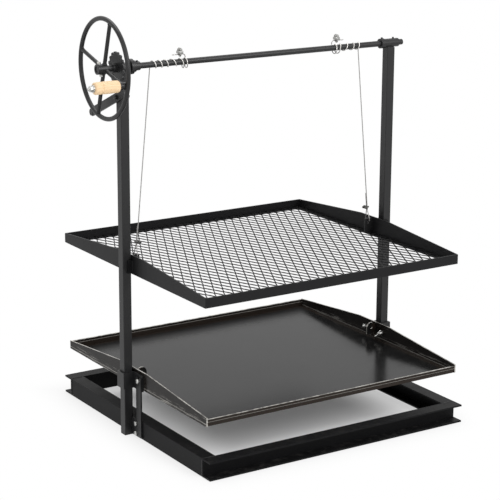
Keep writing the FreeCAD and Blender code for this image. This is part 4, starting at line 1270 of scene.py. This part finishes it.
# %% Beads on the wheel
HANDLE_BOSS_BACK = 8.5
WHEEL_PHASE = -16.5
SPOKE_RADIUS = 5.75
HUB_SEAM = 15.2
RIM_SEAM = 138.1
wheel_beads = []
centre = Vector((corners("handwheel")[1].x - HANDLE_BOSS_BACK, POST_Y, SHAFT_Z))
for k in range(4):
    angle = math.radians(WHEEL_PHASE + 90 * k)
    way = Vector((0, math.sin(angle), math.cos(angle)))
    wheel_beads.append(ring_bead(centre + way * HUB_SEAM, way, SPOKE_RADIUS, SPOKE_BEAD, k))
    wheel_beads.append(ring_bead(centre + way * RIM_SEAM, way, SPOKE_RADIUS, SPOKE_BEAD, k + 4))
piece("wheel_beads", wheel_beads, "shaft", coat, (), SOFT)
print("wheel beads:", len(wheel_beads))

# %% [markdown]
# ## Floor, light and world
# The photograph is a studio shot on white. The floor is a large pale disc that still takes the grill's
# shadow, the world is white to the camera and to reflections, and three large soft lamps give the faces
# their shading. More light would whiten the floor too, but it would bleach the finishes, so the white comes
# from asking which kind of ray is looking.

# %% Floor
FLOOR_TONE = 0.92
# Painted light: to camera rays and reflections the floor glows, a share of FLOOR_GLOW white over its shadow
# that grows to full white between the two SHADOW_ENDS, so the shadow inside the base is painted lighter
# towards its edges.
FLOOR_GLOW = 0.1
FLOOR_RADIUS = 14
FLOOR_DROP = 0.4 * MM
FLOOR_SIDES = 96
SHADOW_ENDS = (0.22, 0.60)


def make_floor():
    """Pale disc: it takes the shadow near the grill with painted light over it, and is white to camera and
    reflections further out.
    """
    finish = Finish(bpy.data.materials.new("studio_floor"))
    x, y, _ = finish.axes(finish.place())
    far = finish.step(finish.larger(finish.size(x - BASE_MIDDLE), finish.size(y)), *SHADOW_ENDS)
    tone = (FLOOR_TONE, FLOOR_TONE, FLOOR_TONE, 1.0)
    finish.surface(Base_Color=tone, Roughness=0.9, Specular_IOR_Level=0.0)
    glow = finish.node("ShaderNodeEmission", None, {"Color": (1, 1, 1, 1), "Strength": 1.0})
    share = finish.shown() * (FLOOR_GLOW + (1 - FLOOR_GLOW) * far)
    pale = Flow(finish, finish.tree.nodes["Principled BSDF"].outputs[0])
    mixed = finish.node("ShaderNodeMixShader", None, {0: share, 1: pale, 2: glow})
    finish.feed(finish.tree.nodes["Material Output"].inputs["Surface"], mixed)
    mesh = bpy.data.meshes.new("floor")
    ring = circle(lambda angle: FLOOR_RADIUS, -FLOOR_DROP, FLOOR_SIDES)
    mesh.from_pydata(ring, [], [tuple(range(FLOOR_SIDES))])
    mesh.materials.append(finish.holder)
    floor = bpy.data.objects.new("floor", mesh)
    bpy.context.scene.collection.objects.link(floor)
    return floor


print("floor", make_floor().dimensions.x, "m across")

# %% Lamps
LAMPS = (("lamp_left", (-3.6, -2.2, 3.0), (0, 0, 0.5), (2.4, 2.4), 45),
         ("lamp_front", (1.6, -4.2, 3.2), (0, 0, 0.4), (2.4, 2.0), 150),
         ("lamp_top", (0.2, 1.2, 4.2), (0, 0, 0.4), (3.0, 3.0), 75))
for name, place, target, size, power in LAMPS:
    data = bpy.data.lights.new(name, "AREA")
    data.shape = "RECTANGLE"
    data.size, data.size_y = size
    data.energy = power
    lamp = bpy.data.objects.new(name, data)
    bpy.context.scene.collection.objects.link(lamp)
    lamp.location = place
    lamp.rotation_euler = (Vector(target) - Vector(place)).to_track_quat("-Z", "Y").to_euler()
print("made", len(LAMPS), "lamps")

# %% World
SKY_LIGHT = 0.52
sky = Finish(bpy.data.worlds.new("studio_world"))
bpy.context.scene.world = sky.holder
background = sky.tree.nodes["Background"]
sky.feed(background.inputs["Color"], (1, 1, 1, 1))
sky.feed(background.inputs["Strength"], SKY_LIGHT + (1 - SKY_LIGHT) * sky.shown())
bpy.context.scene.view_settings.view_transform = "Standard"
print("the world is white to the camera and lights at", SKY_LIGHT)
